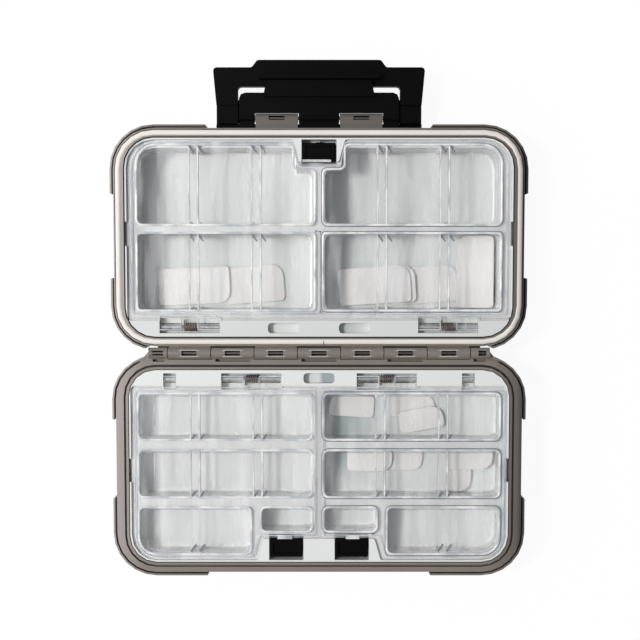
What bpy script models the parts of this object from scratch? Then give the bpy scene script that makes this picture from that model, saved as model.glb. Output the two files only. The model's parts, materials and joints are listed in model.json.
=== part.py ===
"""A two-sided waterproof tackle box, lying open and flat on its two backs.

X runs along the main hinge, Y from the base half to the lid half, Z up. Sizes are in metres.
Both halves are drawn by one rule: a distance from the main hinge axis, and a side of it.
"""

import math

import bmesh
import bpy
from mathutils import Matrix, Vector

# Outer shells, the same size for base and lid
RIM_HALF_WIDTH = 0.1022
RIM_REAR = 0.0034
RIM_FRONT = 0.1117
SHELL_DEPTH = 0.0250
CORNER_RADIUS = 0.0200
RIM_HEIGHT = 0.0050
RIM_PROUD = 0.0008
SHELL_WALL = 0.0022
SHELL_FLOOR = 0.0020
BOTTOM_FILLET = 0.0045
OVERRUN = 0.0020
FIT_GAP = 0.0003
WELD = 0.00002

# Corner bumpers
BUMPER_PROUD = 0.0019
BUMPER_WALL = 0.0009
BUMPER_TOP_DROP = 0.0010
BUMPER_SLOT_DEPTH = 0.0036
BUMPER_FOOT = 0.0050
BUMPER_FRONT_GAP = 0.0550
BUMPER_REAR_GAP = 0.0872
BUMPER_SLOPE = 0.0022
LID_BUMPER_SIDE_GAP_SHARES = (0.325, 0.690)
BASE_BUMPER_SIDE_GAP_SHARES = (0.292, 0.640)

# Rims that meet when the box is shut
LID_LIP = 0.00055
GASKET_GROOVE = 0.0025
GASKET_WIDTH = 0.0021
GASKET_PROUD = 0.0005
LID_INNER_RIM = 0.0019
LID_END_TRIM = 0.0008
BASE_FLANGE = 0.0039
BASE_FLANGE_DROP = 0.0008
BASE_GROOVE = 0.0011
BASE_GROOVE_DEPTH = 0.0018
BASE_LIP = 0.0012
BASE_LIP_DROP = 0.0003
BASE_END_TRIM = 0.0013

# Main hinge
KNUCKLE_RADIUS = 0.00275
KNUCKLE_GAP = 0.0004
HINGE_LENGTH_SHARE = 0.8346
KNUCKLES = 7
KNUCKLE_END_LENGTH = 0.0097
KNUCKLE_ARM_DROP = 0.0012
PIN_RADIUS = 0.0010
PIN_CLEARANCE = 0.0003
PIN_STOP = 0.0018
WINDOW_LENGTH = 0.0075
WINDOW_WIDTH = 0.0027
END_WINDOW_LENGTH = 0.0040
HINGE_GUSSET = 0.0060
HINGE_WEB = 0.0018
HINGE_SLOT = 0.0014
HINGE_SLOT_DEPTH = 0.0042

# Trays
LID_TRAY_GAP = 0.0006
BASE_TRAY_GAP = 0.0004
TRAY_TOP_DROP = 0.0005
TRAY_BORDER = 0.0008
TRAY_SKIRT = 0.0010
TRAY_SEAT_GAP = 0.0003
DECK_THICKNESS = 0.0012
CUP_WALL = 0.0010
CELL_FILLET = 0.0020
CELL_CORNER = 0.0035
STEP_MISMATCH = 0.0001
BASE_CELL_DEPTH = 0.0118
CLIP_WIDTH = 0.0120
CLIP_REACH = 0.0012
CLIP_HEIGHT = 0.0014
CLIP_SLOT = 0.0009
CLIP_PLACE_SHARE = 0.52

# Clear lids
LID_PLATE = 0.0014
LID_EDGE_GAP = 0.0004
LID_REAR_GAP = 0.0011
LID_REAR_CORNER = 0.0018
LID_CENTRE_GAP = 0.0008
LID_NOTCH_CORNER = 0.0012
RIDGE_WIDTH = 0.0008
RIDGE_INSET = 0.0009
RIDGE_HEIGHT = 0.0012
RIDGE_RELIEF = 0.0002

# Clear lid hinges
LID_PIN_RADIUS = 0.0008
LID_KNUCKLE_RADIUS = 0.0021
LID_KNUCKLE_DROP = 0.0004
LID_PIVOT_AHEAD = 0.0044
POCKET_BEHIND = 0.0030
POCKET_AHEAD = 0.0054
POCKET_DEPTH = 0.0058
POCKET_WALL = 0.0014
POCKET_SIDE_GAP = 0.0004
LID_TRAY_PIN = 0.0129
BASE_TRAY_PIN = 0.0133
SPRING_HINGE_LENGTH = 0.0302
SMALL_HINGE_LENGTH = 0.0064
LID_SPRING_HINGE_SHARE = 0.6700
BASE_SPRING_HINGE_SHARE = 0.3560
BASE_SMALL_HINGE_SHARE = 0.7850

# Torsion springs, on the pins of the clear lids
SPRING_WIRE = 0.00030
SPRING_COIL_RADIUS = 0.00148
SPRING_TURNS = 5
SPRING_PITCH = 0.00135
SPRING_POINTS = 8
SPRING_LEG = 0.0048
SPRING_REAR_LEG = 0.0027
SPRING_LEG_ANGLE = math.radians(79.0)

# Cells
LID_CELL_SETBACK = 0.0082
BASE_CELL_SETBACK = 0.0070
LID_CELL_CENTRE = 0.0030
BASE_CELL_CENTRE = 0.0022
LID_CELL_SIDE_MARGIN = 0.0056
BASE_CELL_SIDE_MARGIN = 0.0042
LID_CELL_FRONT_MARGIN = 0.0048
BASE_CELL_FRONT_MARGIN = 0.0038
LID_ROW_SHARES = ((0.0, 0.477), (0.532, 1.0))
BASE_ROW_SHARES = ((0.0, 0.289), (0.350, 0.645), (0.704, 1.0))
CELL_SLOT_SHARES = (0.322, 0.676)
WIDE_CELL_SLOT_SHARE = 0.497
WIDE_CELL_START_SHARE = 0.358
SMALL_CELL_END_SHARE = 0.307

# Oval slots in the strip behind the clear lids
OVAL_HALF_LENGTH = 0.0078
OVAL_HALF_WIDTH = 0.0026
OVAL_CORNER_SHARE = 0.62
OVAL_DEPTH = 0.0045
OVAL_SETBACK = 0.0005
LID_OVAL_PLACE = 0.0178

# Divider slots and loose dividers
DIVIDER_THICKNESS = 0.0010
DIVIDER_CLEARANCE = 0.0013
SLOT_RIB_THICKNESS = 0.0009
SLOT_RIB_REACH = 0.0014
SLOT_RIB_DROP = 0.0016
LID_RIB_SPREAD = 0.0022
DIVIDER_END_GAP = 0.0003
DIVIDER_TOP_GAP = 0.0004
DIVIDER_CORNER = 0.0020
DIVIDER_WIDE_CORNER = 0.0060
# Room kept to the walls by a divider that lies on a cell's floor, as a share of the floor's round edge
SPARE_MARGIN_SHARE = 0.8
# Each loose divider: side of X, row of cells, place across and along the room left in its cell,
# turn in right angles, tilt as a share of a right angle, level in divider thicknesses, the long side
# that has the wide corner, and the divider that it leans on, counted from one, or with a minus sign
# the divider that it lies beside
LID_SPARE_SHARES = (
    (-1, 0, 0.880, 0.0, 0.030, 0.0, 0.0, -1, 2),
    (-1, 0, 0.278, 0.0, 0.050, 0.0, 0.0, 1, 0),
    (1, 0, 0.106, 0.0, 0.040, 0.0, 0.0, 1, 4),
    (1, 0, 0.161, 0.0, 0.040, 0.0, 0.0, 1, 5),
    (1, 0, 0.634, 0.0, 0.045, 0.0, 0.0, 1, 0),
    (1, 0, 0.846, 0.5, 1.0, -0.110, 1.0, 1, 0),
)
BASE_SPARE_SHARES = (
    (1, 0, 0.018, 0.0, 1.960, 0.0, 0.0, -1, 0),
    (1, 0, 0.198, 0.082, 0.0, 0.0, 0.0, 1, -1),
    (1, 0, 0.586, 0.856, 0.113, 0.0, 1.0, 1, 0),
    (1, 1, 0.170, 0.016, 0.0, 0.0, 0.0, -1, 5),
    (1, 1, 0.422, 0.0, 0.0, 0.0, 0.0, -1, 0),
    (1, 1, 0.967, 0.050, 0.0, 0.0, 1.8, -1, 0),
    (1, 1, 0.122, 0.5, -1.0, 0.0, 0.75, 1, 0),
)

# Catch buttons
BUTTON_HALF_WIDTH = 0.0083
BUTTON_LENGTH = 0.0096
BUTTON_PLATE = 0.0032
BUTTON_TRAVEL = 0.0013
BUTTON_SIDE_GAP = 0.0004
BUTTON_EDGE = 0.0006
BUTTON_DISH = 0.0006
BUTTON_DISH_MARGIN = 0.0018
BASE_BUTTON_PLACE = 0.0166
WELL_DEPTH = 0.0079
WELL_FLOOR = 0.0012
STEM_HALF_WIDTH = 0.0026
STEM_SETBACK = 0.0028
STEM_LENGTH = 0.0030
STEM_GAP = 0.0004
STEM_FOOT = 0.0011
STEM_BARB = 0.0009
PAD_HALF_WIDTH = 0.0102
PAD_SPREAD = 0.0032
BASE_PAD_HALF_WIDTH = 0.0285
HOOK_HALF_WIDTH = 0.0040
HOOK_THICKNESS = 0.0012
HOOK_DROP = 0.0030
WELL_REAR_GAP = 0.0005
WELL_CELL_WALL = 0.0013
BUTTON_SPRING_RADIUS = 0.00132
BUTTON_SPRING_TURNS = 4
BUTTON_SPRING_DROP = 0.0021

# Front latch
LATCH_DROP = 0.0100
LATCH_AXIS_AHEAD = 0.0061
LATCH_KNUCKLE_RADIUS = 0.0023
LATCH_CENTRE_KNUCKLE = 0.0102
SHELL_KNUCKLE_LENGTH = 0.0215
SHELL_ARM_HALF = 0.0021
LINK_HALF_WIDTH = 0.0402
LINK_LENGTH = 0.0126
LINK_TOP = 0.0017
LINK_BOTTOM = 0.0014
LINK_CORNER = 0.0030
LINK_SKIRT_REACH = 0.0052
LINK_LEDGE = 0.0014
LINK_LEDGE_THICKNESS = 0.0008
LATCH_PIN_STOP = 0.0012
PIVOT_FROM_AXIS = 0.0140
PIVOT_CENTRE_KNUCKLE = 0.0092
PIVOT_LINK_KNUCKLE = 0.0087
PIVOT_OUTER_KNUCKLE = 0.0087
LEVER_REACH = 0.0252
LEVER_LIP = 0.0037
LEVER_LIP_HALF_WIDTH = 0.0310
LEVER_LIP_SLOPE = 0.0028
LEVER_SHOULDER_HALF_WIDTH = 0.0533
LEVER_LEG_HALF_WIDTH = 0.0516
LEVER_WAIST = 0.0065
LEVER_LEG_BACK = 0.0026
LEVER_BOTTOM = 0.0027
LEVER_TOP = 0.0013
LEVER_BAR_START = 0.0157
LEVER_LEG_GAP = 0.0006
LEVER_COVER_HALF_WIDTH = 0.0280
LEVER_COVER_SLOPE = 0.0018
LEVER_COVER_REACH = 0.0052
LEVER_COVER_ROOT = 0.0030
LEVER_COVER_THICKNESS = 0.0009
LEVER_COVER_SETBACK = 0.0010
LEVER_CORNER = 0.0016
HOOK_BAR_FROM_AXIS = 0.0190
HOOK_BAR_THICKNESS = 0.0022
HOOK_BAR_HALF_WIDTH = 0.0300
CATCH_PROUD = 0.0015
CATCH_HEIGHT = 0.0020
CATCH_HALF_WIDTH = 0.0310
CATCH_BITE = 0.0012
LATCH_WINDOW_LENGTH = 0.0080
LATCH_WINDOW_WIDTH = 0.0020

# Facets
CORNER_FACETS = 6
FILLET_FACETS = 2
BARREL_SIDES = 12
PIN_SIDES = 8

# Places that the sizes above settle
BAND_LIP = LID_LIP + GASKET_GROOVE
LID_CAVITY = BAND_LIP + LID_INNER_RIM
BASE_LIP_START = BASE_FLANGE + BASE_GROOVE
BASE_CAVITY = BASE_LIP_START + BASE_LIP
TRAY_TOP = SHELL_DEPTH - TRAY_TOP_DROP
LID_PLATE_BOTTOM = TRAY_TOP - LID_PLATE
DECK_TOP = LID_PLATE_BOTTOM - FIT_GAP
DECK_BOTTOM = DECK_TOP - DECK_THICKNESS
TRAY_FOOT = SHELL_FLOOR + TRAY_SEAT_GAP
LID_CELL_FLOOR = TRAY_FOOT + CUP_WALL
BASE_CELL_FLOOR = DECK_TOP - BASE_CELL_DEPTH
LID_PIN_HEIGHT = TRAY_TOP - LID_KNUCKLE_DROP - LID_KNUCKLE_RADIUS
HINGE_HALF_LENGTH = RIM_HALF_WIDTH * HINGE_LENGTH_SHARE
KNUCKLE_PITCH = (HINGE_HALF_LENGTH - KNUCKLE_END_LENGTH) * 2 / KNUCKLES
LATCH_AXIS = RIM_FRONT + LATCH_AXIS_AHEAD
LATCH_HEIGHT = SHELL_DEPTH - LATCH_DROP
LATCH_PIVOT = LATCH_AXIS + PIVOT_FROM_AXIS
LATCH_END = LATCH_AXIS + LEVER_REACH + LEVER_LIP
CATCH_BOTTOM = SHELL_DEPTH + LATCH_DROP - HOOK_BAR_FROM_AXIS + FIT_GAP
HINGE_PLACE = (RIM_FRONT + BUMPER_PROUD - LATCH_END) / 2
LID = 1
BASE = -1

for old in list(bpy.data.objects):
    bpy.data.objects.remove(old, do_unlink=True)
for old in list(bpy.data.collections):
    bpy.data.collections.remove(old)

BOX = bpy.data.collections.new("tackle_box")
CUTTERS = bpy.data.collections.new("cutters")
bpy.context.scene.collection.children.link(BOX)
bpy.context.scene.collection.children.link(CUTTERS)


# Materials

def material(name, colour, roughness, metallic=0.0, alpha=1.0):
    """A Principled finish for one kind of piece."""
    made = bpy.data.materials.new(name)
    made.use_nodes = True
    shader = made.node_tree.nodes["Principled BSDF"]
    shader.inputs["Base Color"].default_value = (*colour, 1.0)
    shader.inputs["Roughness"].default_value = roughness
    shader.inputs["Metallic"].default_value = metallic
    shader.inputs["Alpha"].default_value = alpha
    made.diffuse_color = (*colour, alpha)
    return made


SHELL_PLASTIC = material("shell_plastic", (0.27, 0.235, 0.215), 0.55)
GASKET_RUBBER = material("gasket_rubber", (0.80, 0.77, 0.74), 0.60)
TRAY_PLASTIC = material("tray_plastic", (0.76, 0.82, 0.81), 0.38)
CLEAR_PLASTIC = material("clear_plastic", (0.88, 0.92, 0.92), 0.08, alpha=0.25)
DIVIDER_PLASTIC = material("divider_plastic", (0.80, 0.83, 0.82), 0.32)
BLACK_PLASTIC = material("black_plastic", (0.012, 0.012, 0.014), 0.42)
PIN_STEEL = material("pin_steel", (0.58, 0.57, 0.55), 0.30, metallic=1.0)
SPRING_STEEL = material("spring_steel", (0.50, 0.48, 0.46), 0.34, metallic=1.0)


# Placing pieces on their moving bodies

def empty(name, place, parent=None, parent_place=(0.0, 0.0, 0.0)):
    """A pivot that a moving body hangs on; places count from the main hinge axis."""
    pivot = bpy.data.objects.new(name, None)
    pivot.empty_display_size = KNUCKLE_PITCH
    pivot.parent = parent
    pivot.location = Vector(place) - Vector(parent_place)
    BOX.objects.link(pivot)
    return pivot, Vector(place)


ROOT = empty("box_origin", (0.0, 0.0, 0.0))
ROOT[0].location = (0.0, HINGE_PLACE, 0.0)
BODIES = {"base": ROOT}


def add_body(name, place, parent):
    held, held_place = BODIES[parent]
    BODIES[name] = empty(name + "_axis", place, held, held_place)


add_body("lid", (0.0, 0.0, SHELL_DEPTH), "base")
add_body("upper_clear_lid", (0.0, LID_TRAY_PIN, LID_PIN_HEIGHT), "lid")
add_body("left_clear_lid", (0.0, -BASE_TRAY_PIN, LID_PIN_HEIGHT), "base")
add_body("right_clear_lid", (0.0, -BASE_TRAY_PIN, LID_PIN_HEIGHT), "base")
add_body("latch_link", (0.0, LATCH_AXIS, LATCH_HEIGHT), "lid")
add_body("latch_lever", (0.0, LATCH_PIVOT, LATCH_HEIGHT), "latch_link")


# Shapes

def helper(mesh, collection):
    shape = bpy.data.objects.new(mesh.name, mesh)
    shape.hide_render = True
    shape.display_type = "WIRE"
    collection.objects.link(shape)
    return shape


def to_mesh(bm, name):
    mesh = bpy.data.meshes.new(name)
    bmesh.ops.recalc_face_normals(bm, faces=bm.faces)
    bm.to_mesh(mesh)
    bm.free()
    return mesh


def bevel(bm, edges, radius, facets):
    bmesh.ops.bevel(
        bm, geom=edges, offset=radius, offset_type="OFFSET", segments=facets,
        profile=0.5, affect="EDGES", clamp_overlap=True,
    )


def at(value, level):
    return math.isclose(value, level, abs_tol=FIT_GAP / 100)


def facets_for(radius):
    """Fewer facets on a small corner than on a large one."""
    return max(FILLET_FACETS, int(CORNER_FACETS * math.sqrt(radius / CORNER_RADIUS)))


def block(x, y, z, corners=None, bottom=0.0, top=0.0):
    """A box between two values on each axis, its upright edges rounded in the order
    near-left, near-right, far-right, far-left, and its bottom and top edges rounded."""
    x, y, z = sorted(x), sorted(y), sorted(z)
    bm = bmesh.new()
    bmesh.ops.create_cube(bm, size=1.0)
    bmesh.ops.scale(bm, vec=(x[1] - x[0], y[1] - y[0], z[1] - z[0]), verts=bm.verts)
    middle = ((x[0] + x[1]) / 2, (y[0] + y[1]) / 2, (z[0] + z[1]) / 2)
    bmesh.ops.translate(bm, vec=middle, verts=bm.verts)
    if corners is not None:
        radii = corners if isinstance(corners, tuple) else (corners,) * 4
        places = ((x[0], y[0]), (x[1], y[0]), (x[1], y[1]), (x[0], y[1]))
        for radius, place in zip(radii, places):
            upright = [
                edge for edge in bm.edges
                if all(at(v.co.x, place[0]) and at(v.co.y, place[1]) for v in edge.verts)
            ]
            if radius:
                bevel(bm, upright, radius, facets_for(radius))
    for level, radius in ((z[0], bottom), (z[1], top)):
        if radius:
            ring = [e for e in bm.edges if all(at(v.co.z, level) for v in e.verts)]
            bevel(bm, ring, radius, FILLET_FACETS)
    return to_mesh(bm, "block")


def rod(x, y, z, radius, sides=BARREL_SIDES):
    """A round bar along X."""
    bm = bmesh.new()
    bmesh.ops.create_cone(
        bm, cap_ends=True, segments=sides, radius1=radius, radius2=radius, depth=abs(x[1] - x[0])
    )
    turn = Matrix.Rotation(math.pi / 2, 3, "Y") @ Matrix.Rotation(math.pi / sides, 3, "Z")
    bmesh.ops.rotate(bm, cent=(0.0, 0.0, 0.0), matrix=turn, verts=bm.verts)
    bmesh.ops.translate(bm, vec=((x[0] + x[1]) / 2, y, z), verts=bm.verts)
    return to_mesh(bm, "rod")


def rounded(points):
    """The outline through (x, y, radius) points, each corner rounded by its radius."""
    path = []
    for n, (px, py, radius) in enumerate(points):
        here = Vector((px, py))
        before = Vector(points[n - 1][:2]) - here
        after = Vector(points[(n + 1) % len(points)][:2]) - here
        if not radius:
            path.append(here)
            continue
        half = before.angle(after) / 2
        reach = min(radius / math.tan(half), before.length / 2, after.length / 2)
        radius = reach * math.tan(half)
        middle = here + (before.normalized() + after.normalized()).normalized() * (radius / math.sin(half))
        start = here + before.normalized() * reach - middle
        end = here + after.normalized() * reach - middle
        swing = start.angle_signed(end)
        facets = facets_for(radius)
        for step in range(facets + 1):
            turned = Matrix.Rotation(-swing * step / facets, 2) @ start
            path.append(middle + turned)
    return path


def plate(points, z):
    """A flat outline with rounded corners, as thick as z says."""
    curve = bpy.data.curves.new("plate", "CURVE")
    curve.dimensions = "2D"
    curve.fill_mode = "BOTH"
    curve.extrude = (z[1] - z[0]) / 2
    path = rounded(points)
    spline = curve.splines.new("POLY")
    spline.points.add(len(path) - 1)
    for point, place in zip(spline.points, path):
        point.co = (place.x, place.y, 0.0, 1.0)
    spline.use_cyclic_u = True
    outline = bpy.data.objects.new("plate", curve)
    outline.location = (0.0, 0.0, (z[0] + z[1]) / 2)
    return curve_mesh(outline)


def curve_mesh(outline):
    """The curve object's solid as a mesh, its caps welded."""
    mesh = bpy.data.meshes.new_from_object(outline)
    mesh.transform(Matrix.Translation(outline.location))
    bpy.data.objects.remove(outline, do_unlink=True)
    bm = bmesh.new()
    bm.from_mesh(mesh)
    bmesh.ops.remove_doubles(bm, verts=bm.verts, dist=FIT_GAP / 100)
    bmesh.ops.recalc_face_normals(bm, faces=bm.faces)
    bm.to_mesh(mesh)
    bm.free()
    return mesh


def tube(path, radius, closed=False, rings=1):
    """A round bar along a path of points."""
    curve = bpy.data.curves.new("tube", "CURVE")
    curve.dimensions = "3D"
    curve.bevel_depth = radius
    curve.bevel_resolution = rings
    curve.use_fill_caps = not closed
    spline = curve.splines.new("POLY")
    spline.points.add(len(path) - 1)
    for point, place in zip(spline.points, path):
        point.co = (*place, 1.0)
    spline.use_cyclic_u = closed
    return curve_mesh(bpy.data.objects.new("tube", curve))


def piece(name, body, finish, mesh, stages=()):
    """One piece of the box: its first shape, then joins and cuts in turn."""
    mesh.name = name
    mesh.materials.clear()
    mesh.materials.append(finish)
    mesh.shade_smooth()
    mesh.set_sharp_from_angle(angle=math.radians(35.0))
    made = bpy.data.objects.new(name, mesh)
    pivot, place = BODIES[body]
    made.parent = pivot
    made.location = -place
    BOX.objects.link(made)
    for n, (operation, shapes) in enumerate(stages):
        if not shapes:
            continue
        group = bpy.data.collections.new(f"{name}_{n}")
        CUTTERS.children.link(group)
        for shape in shapes:
            if isinstance(shape, bpy.types.Mesh):
                shape = helper(shape, group)
            else:
                CUTTERS.objects.unlink(shape)
                group.objects.link(shape)
            shape.location.y = HINGE_PLACE
        stage = made.modifiers.new(f"{operation.lower()}_{n}", "BOOLEAN")
        stage.operation = operation
        stage.operand_type = "COLLECTION"
        stage.collection = group
        stage.solver = "EXACT"
    if stages:
        weld = made.modifiers.new("weld", "WELD")
        weld.merge_threshold = WELD
    return made


# Shells

def slab(side, inset, z, end_trim=0.0, bottom=0.0):
    """The rim's rounded rectangle, drawn in by inset, or by less at the two ends."""
    end = inset - end_trim
    radius = CORNER_RADIUS - inset
    half = RIM_HALF_WIDTH - inset
    return block(
        (-half, half), (side * (RIM_REAR + end), side * (RIM_FRONT - end)), z, radius, bottom=bottom
    )


def bumpers(side, gap_shares):
    """Four corner bumpers: a proud band with an open slot behind its top edge."""
    top = SHELL_DEPTH - BUMPER_TOP_DROP
    band = helper(slab(side, -BUMPER_PROUD, (BUMPER_FOOT, top), bottom=BUMPER_PROUD), CUTTERS)
    slot_inset = BUMPER_WALL - BUMPER_PROUD
    slot = slab(side, slot_inset, (top - BUMPER_SLOT_DEPTH, top + OVERRUN))
    depth = (-OVERRUN, SHELL_DEPTH + OVERRUN)
    outer = RIM_HALF_WIDTH + BUMPER_PROUD + OVERRUN
    front = RIM_FRONT + BUMPER_PROUD + OVERRUN
    front_half = BUMPER_FRONT_GAP
    gaps = [
        plate(
            [
                (-front_half, side * (RIM_FRONT - OVERRUN), 0.0),
                (front_half, side * (RIM_FRONT - OVERRUN), 0.0),
                (front_half + BUMPER_SLOPE, side * front, 0.0),
                (-front_half - BUMPER_SLOPE, side * front, 0.0),
            ],
            depth,
        ),
        block((-BUMPER_REAR_GAP, BUMPER_REAR_GAP), (-side * RIM_REAR, side * (RIM_REAR + OVERRUN)), depth),
    ]
    length = RIM_FRONT - RIM_REAR
    near, far = (RIM_REAR + share * length for share in gap_shares)
    inner = RIM_HALF_WIDTH - OVERRUN
    for hand in (-1, 1):
        gaps.append(
            plate(
                [
                    (hand * inner, side * near, 0.0),
                    (hand * inner, side * far, 0.0),
                    (hand * outer, side * (far + BUMPER_SLOPE), 0.0),
                    (hand * outer, side * (near - BUMPER_SLOPE), 0.0),
                ],
                depth,
            )
        )
    cut = band.modifiers.new("slot_and_gaps", "BOOLEAN")
    cut.operand_type = "COLLECTION"
    cut.collection = bpy.data.collections.new("bumper_cuts")
    CUTTERS.children.link(cut.collection)
    for gap in [slot, *gaps]:
        helper(gap, cut.collection).location.y = HINGE_PLACE
    return band


def narrower(span):
    """The stretch of X that an arm takes, a little inside its barrel's ends."""
    return (min(span) + FIT_GAP / 2, max(span) - FIT_GAP / 2)


def knuckle_spans(owner):
    """The stretches of X that hold this half's barrels: the lid has every other one from the first."""
    edge = KNUCKLE_PITCH * KNUCKLES / 2
    spans = []
    for n in range(KNUCKLES):
        low = -edge + n * KNUCKLE_PITCH
        if (n % 2 == 0) == (owner == LID):
            spans.append((low + KNUCKLE_GAP / 2, low + KNUCKLE_PITCH - KNUCKLE_GAP / 2))
    if owner == BASE:
        spans.append((-HINGE_HALF_LENGTH, -edge - KNUCKLE_GAP / 2))
        spans.append((edge + KNUCKLE_GAP / 2, HINGE_HALF_LENGTH))
    return spans


def hinge_barrels(side):
    shapes = []
    for span in knuckle_spans(side):
        shapes.append(rod(span, 0.0, SHELL_DEPTH, KNUCKLE_RADIUS))
        arm_height = (SHELL_DEPTH - KNUCKLE_RADIUS + WELD * 2, SHELL_DEPTH - KNUCKLE_ARM_DROP)
        arm_end = side * (RIM_REAR + RIM_PROUD + SHELL_WALL / 2)
        shapes.append(block(narrower(span), (0.0, arm_end), arm_height))
    return shapes


def hinge_windows(side):
    height = (SHELL_DEPTH, SHELL_DEPTH + KNUCKLE_RADIUS + OVERRUN)
    width = (-WINDOW_WIDTH / 2, WINDOW_WIDTH / 2)
    cuts = []
    for low, high in knuckle_spans(side):
        if high - low > KNUCKLE_END_LENGTH:
            middle = (low + high) / 2
            cuts.append(block((middle - WINDOW_LENGTH / 2, middle + WINDOW_LENGTH / 2), width, height))
    if side == BASE:
        stop = HINGE_HALF_LENGTH - PIN_STOP
        cuts.append(block((stop - END_WINDOW_LENGTH, stop), width, height))
        cuts.append(block((-stop - OVERRUN, END_WINDOW_LENGTH + PIN_STOP - stop), width, height))
    slot_near = KNUCKLE_RADIUS + FIT_GAP
    slot_y = (side * slot_near, side * (slot_near + HINGE_SLOT))
    slot_z = (SHELL_DEPTH - HINGE_SLOT_DEPTH, SHELL_DEPTH + OVERRUN)
    for low, high in knuckle_spans(side) if side == BASE else ():
        cuts.append(block((low + HINGE_WEB, high - HINGE_WEB), slot_y, slot_z))
    bore = PIN_RADIUS + PIN_CLEARANCE
    cuts.append(rod((-HINGE_HALF_LENGTH - OVERRUN, HINGE_HALF_LENGTH - PIN_STOP), 0.0, SHELL_DEPTH, bore))
    return cuts


def cavity(side, inset, end_trim):
    """The hollow inside the rim, wider below it."""
    rim_bottom = SHELL_DEPTH - RIM_HEIGHT
    radius = CORNER_RADIUS - inset
    floor = (SHELL_FLOOR, rim_bottom)
    return [
        slab(side, inset, (rim_bottom - OVERRUN, SHELL_DEPTH + OVERRUN), end_trim),
        slab(side, RIM_PROUD + SHELL_WALL, floor, bottom=min(CELL_FILLET, radius)),
    ]


def shell_blank(side):
    rim_bottom = SHELL_DEPTH - RIM_HEIGHT
    return slab(side, RIM_PROUD, (0.0, rim_bottom + OVERRUN), bottom=BOTTOM_FILLET)


def make_base_shell():
    rim_bottom = SHELL_DEPTH - RIM_HEIGHT
    flange_top = SHELL_DEPTH - BASE_FLANGE_DROP
    groove_floor = flange_top - BASE_GROOVE_DEPTH
    arm_bottom = SHELL_DEPTH - KNUCKLE_RADIUS
    arm_top = SHELL_DEPTH - KNUCKLE_ARM_DROP
    gussets = []
    for hand in (-1, 1):
        start = hand * (HINGE_HALF_LENGTH - FIT_GAP)
        web = [
            (start, KNUCKLE_RADIUS / 2, 0.0),
            (start + hand * HINGE_GUSSET, -RIM_REAR - SHELL_WALL, 0.0),
            (start, -RIM_REAR - SHELL_WALL, 0.0),
        ]
        gussets.append(plate(web, (arm_bottom, arm_top)))
    catch = block(
        (-CATCH_HALF_WIDTH, CATCH_HALF_WIDTH),
        (-RIM_FRONT - CATCH_PROUD, -RIM_FRONT + RIM_PROUD + SHELL_WALL / 2),
        (CATCH_BOTTOM, CATCH_BOTTOM + CATCH_HEIGHT),
    )
    joins = [
        slab(BASE, 0.0, (rim_bottom, flange_top)),
        bumpers(BASE, BASE_BUMPER_SIDE_GAP_SHARES),
        *hinge_barrels(BASE),
        *gussets,
        catch,
    ]
    groove = slab(BASE, BASE_FLANGE, (groove_floor, SHELL_DEPTH + OVERRUN), BASE_END_TRIM)
    lip = slab(BASE, BASE_LIP_START, (groove_floor - FIT_GAP, SHELL_DEPTH - BASE_LIP_DROP), BASE_END_TRIM)
    cuts = cavity(BASE, BASE_CAVITY, BASE_END_TRIM) + hinge_windows(BASE)
    stages = [("UNION", joins), ("DIFFERENCE", [groove]), ("UNION", [lip]), ("DIFFERENCE", cuts)]
    piece("base_shell", "base", SHELL_PLASTIC, shell_blank(BASE), stages)


def latch_shell_spans():
    start = LATCH_CENTRE_KNUCKLE + FIT_GAP
    return [(start, start + SHELL_KNUCKLE_LENGTH), (-start - SHELL_KNUCKLE_LENGTH, -start)]


def make_lid_shell():
    rim_bottom = SHELL_DEPTH - RIM_HEIGHT
    groove_floor = SHELL_DEPTH + GASKET_PROUD - GASKET_WIDTH - FIT_GAP
    joins = [
        slab(LID, 0.0, (rim_bottom, SHELL_DEPTH)),
        bumpers(LID, LID_BUMPER_SIDE_GAP_SHARES),
        *hinge_barrels(LID),
    ]
    height = (LATCH_HEIGHT - SHELL_ARM_HALF, LATCH_HEIGHT + SHELL_ARM_HALF)
    windows = []
    for low, high in latch_shell_spans():
        joins.append(rod((low, high), LATCH_AXIS, LATCH_HEIGHT, LATCH_KNUCKLE_RADIUS))
        arm_y = (RIM_FRONT - RIM_PROUD - SHELL_WALL / 2, LATCH_AXIS)
        joins.append(block(narrower((low, high)), arm_y, height))
        middle = (low + high) / 2
        windows.append(
            block(
                (middle - LATCH_WINDOW_LENGTH / 2, middle + LATCH_WINDOW_LENGTH / 2),
                (LATCH_AXIS - LATCH_WINDOW_WIDTH / 2, LATCH_AXIS + LATCH_WINDOW_WIDTH / 2),
                (LATCH_HEIGHT, LATCH_HEIGHT + LATCH_KNUCKLE_RADIUS + OVERRUN),
            )
        )
    bore = PIN_RADIUS + PIN_CLEARANCE
    windows.append(rod((-LINK_HALF_WIDTH, LINK_HALF_WIDTH), LATCH_AXIS, LATCH_HEIGHT, bore))
    groove = slab(LID, LID_LIP, (groove_floor, SHELL_DEPTH + OVERRUN))
    inner = slab(LID, BAND_LIP, (groove_floor - FIT_GAP, SHELL_DEPTH), 0.0)
    cuts = cavity(LID, LID_CAVITY, LID_END_TRIM) + hinge_windows(LID) + windows
    stages = [("UNION", joins), ("DIFFERENCE", [groove]), ("UNION", [inner]), ("DIFFERENCE", cuts)]
    piece("lid_shell", "lid", SHELL_PLASTIC, shell_blank(LID), stages)


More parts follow.
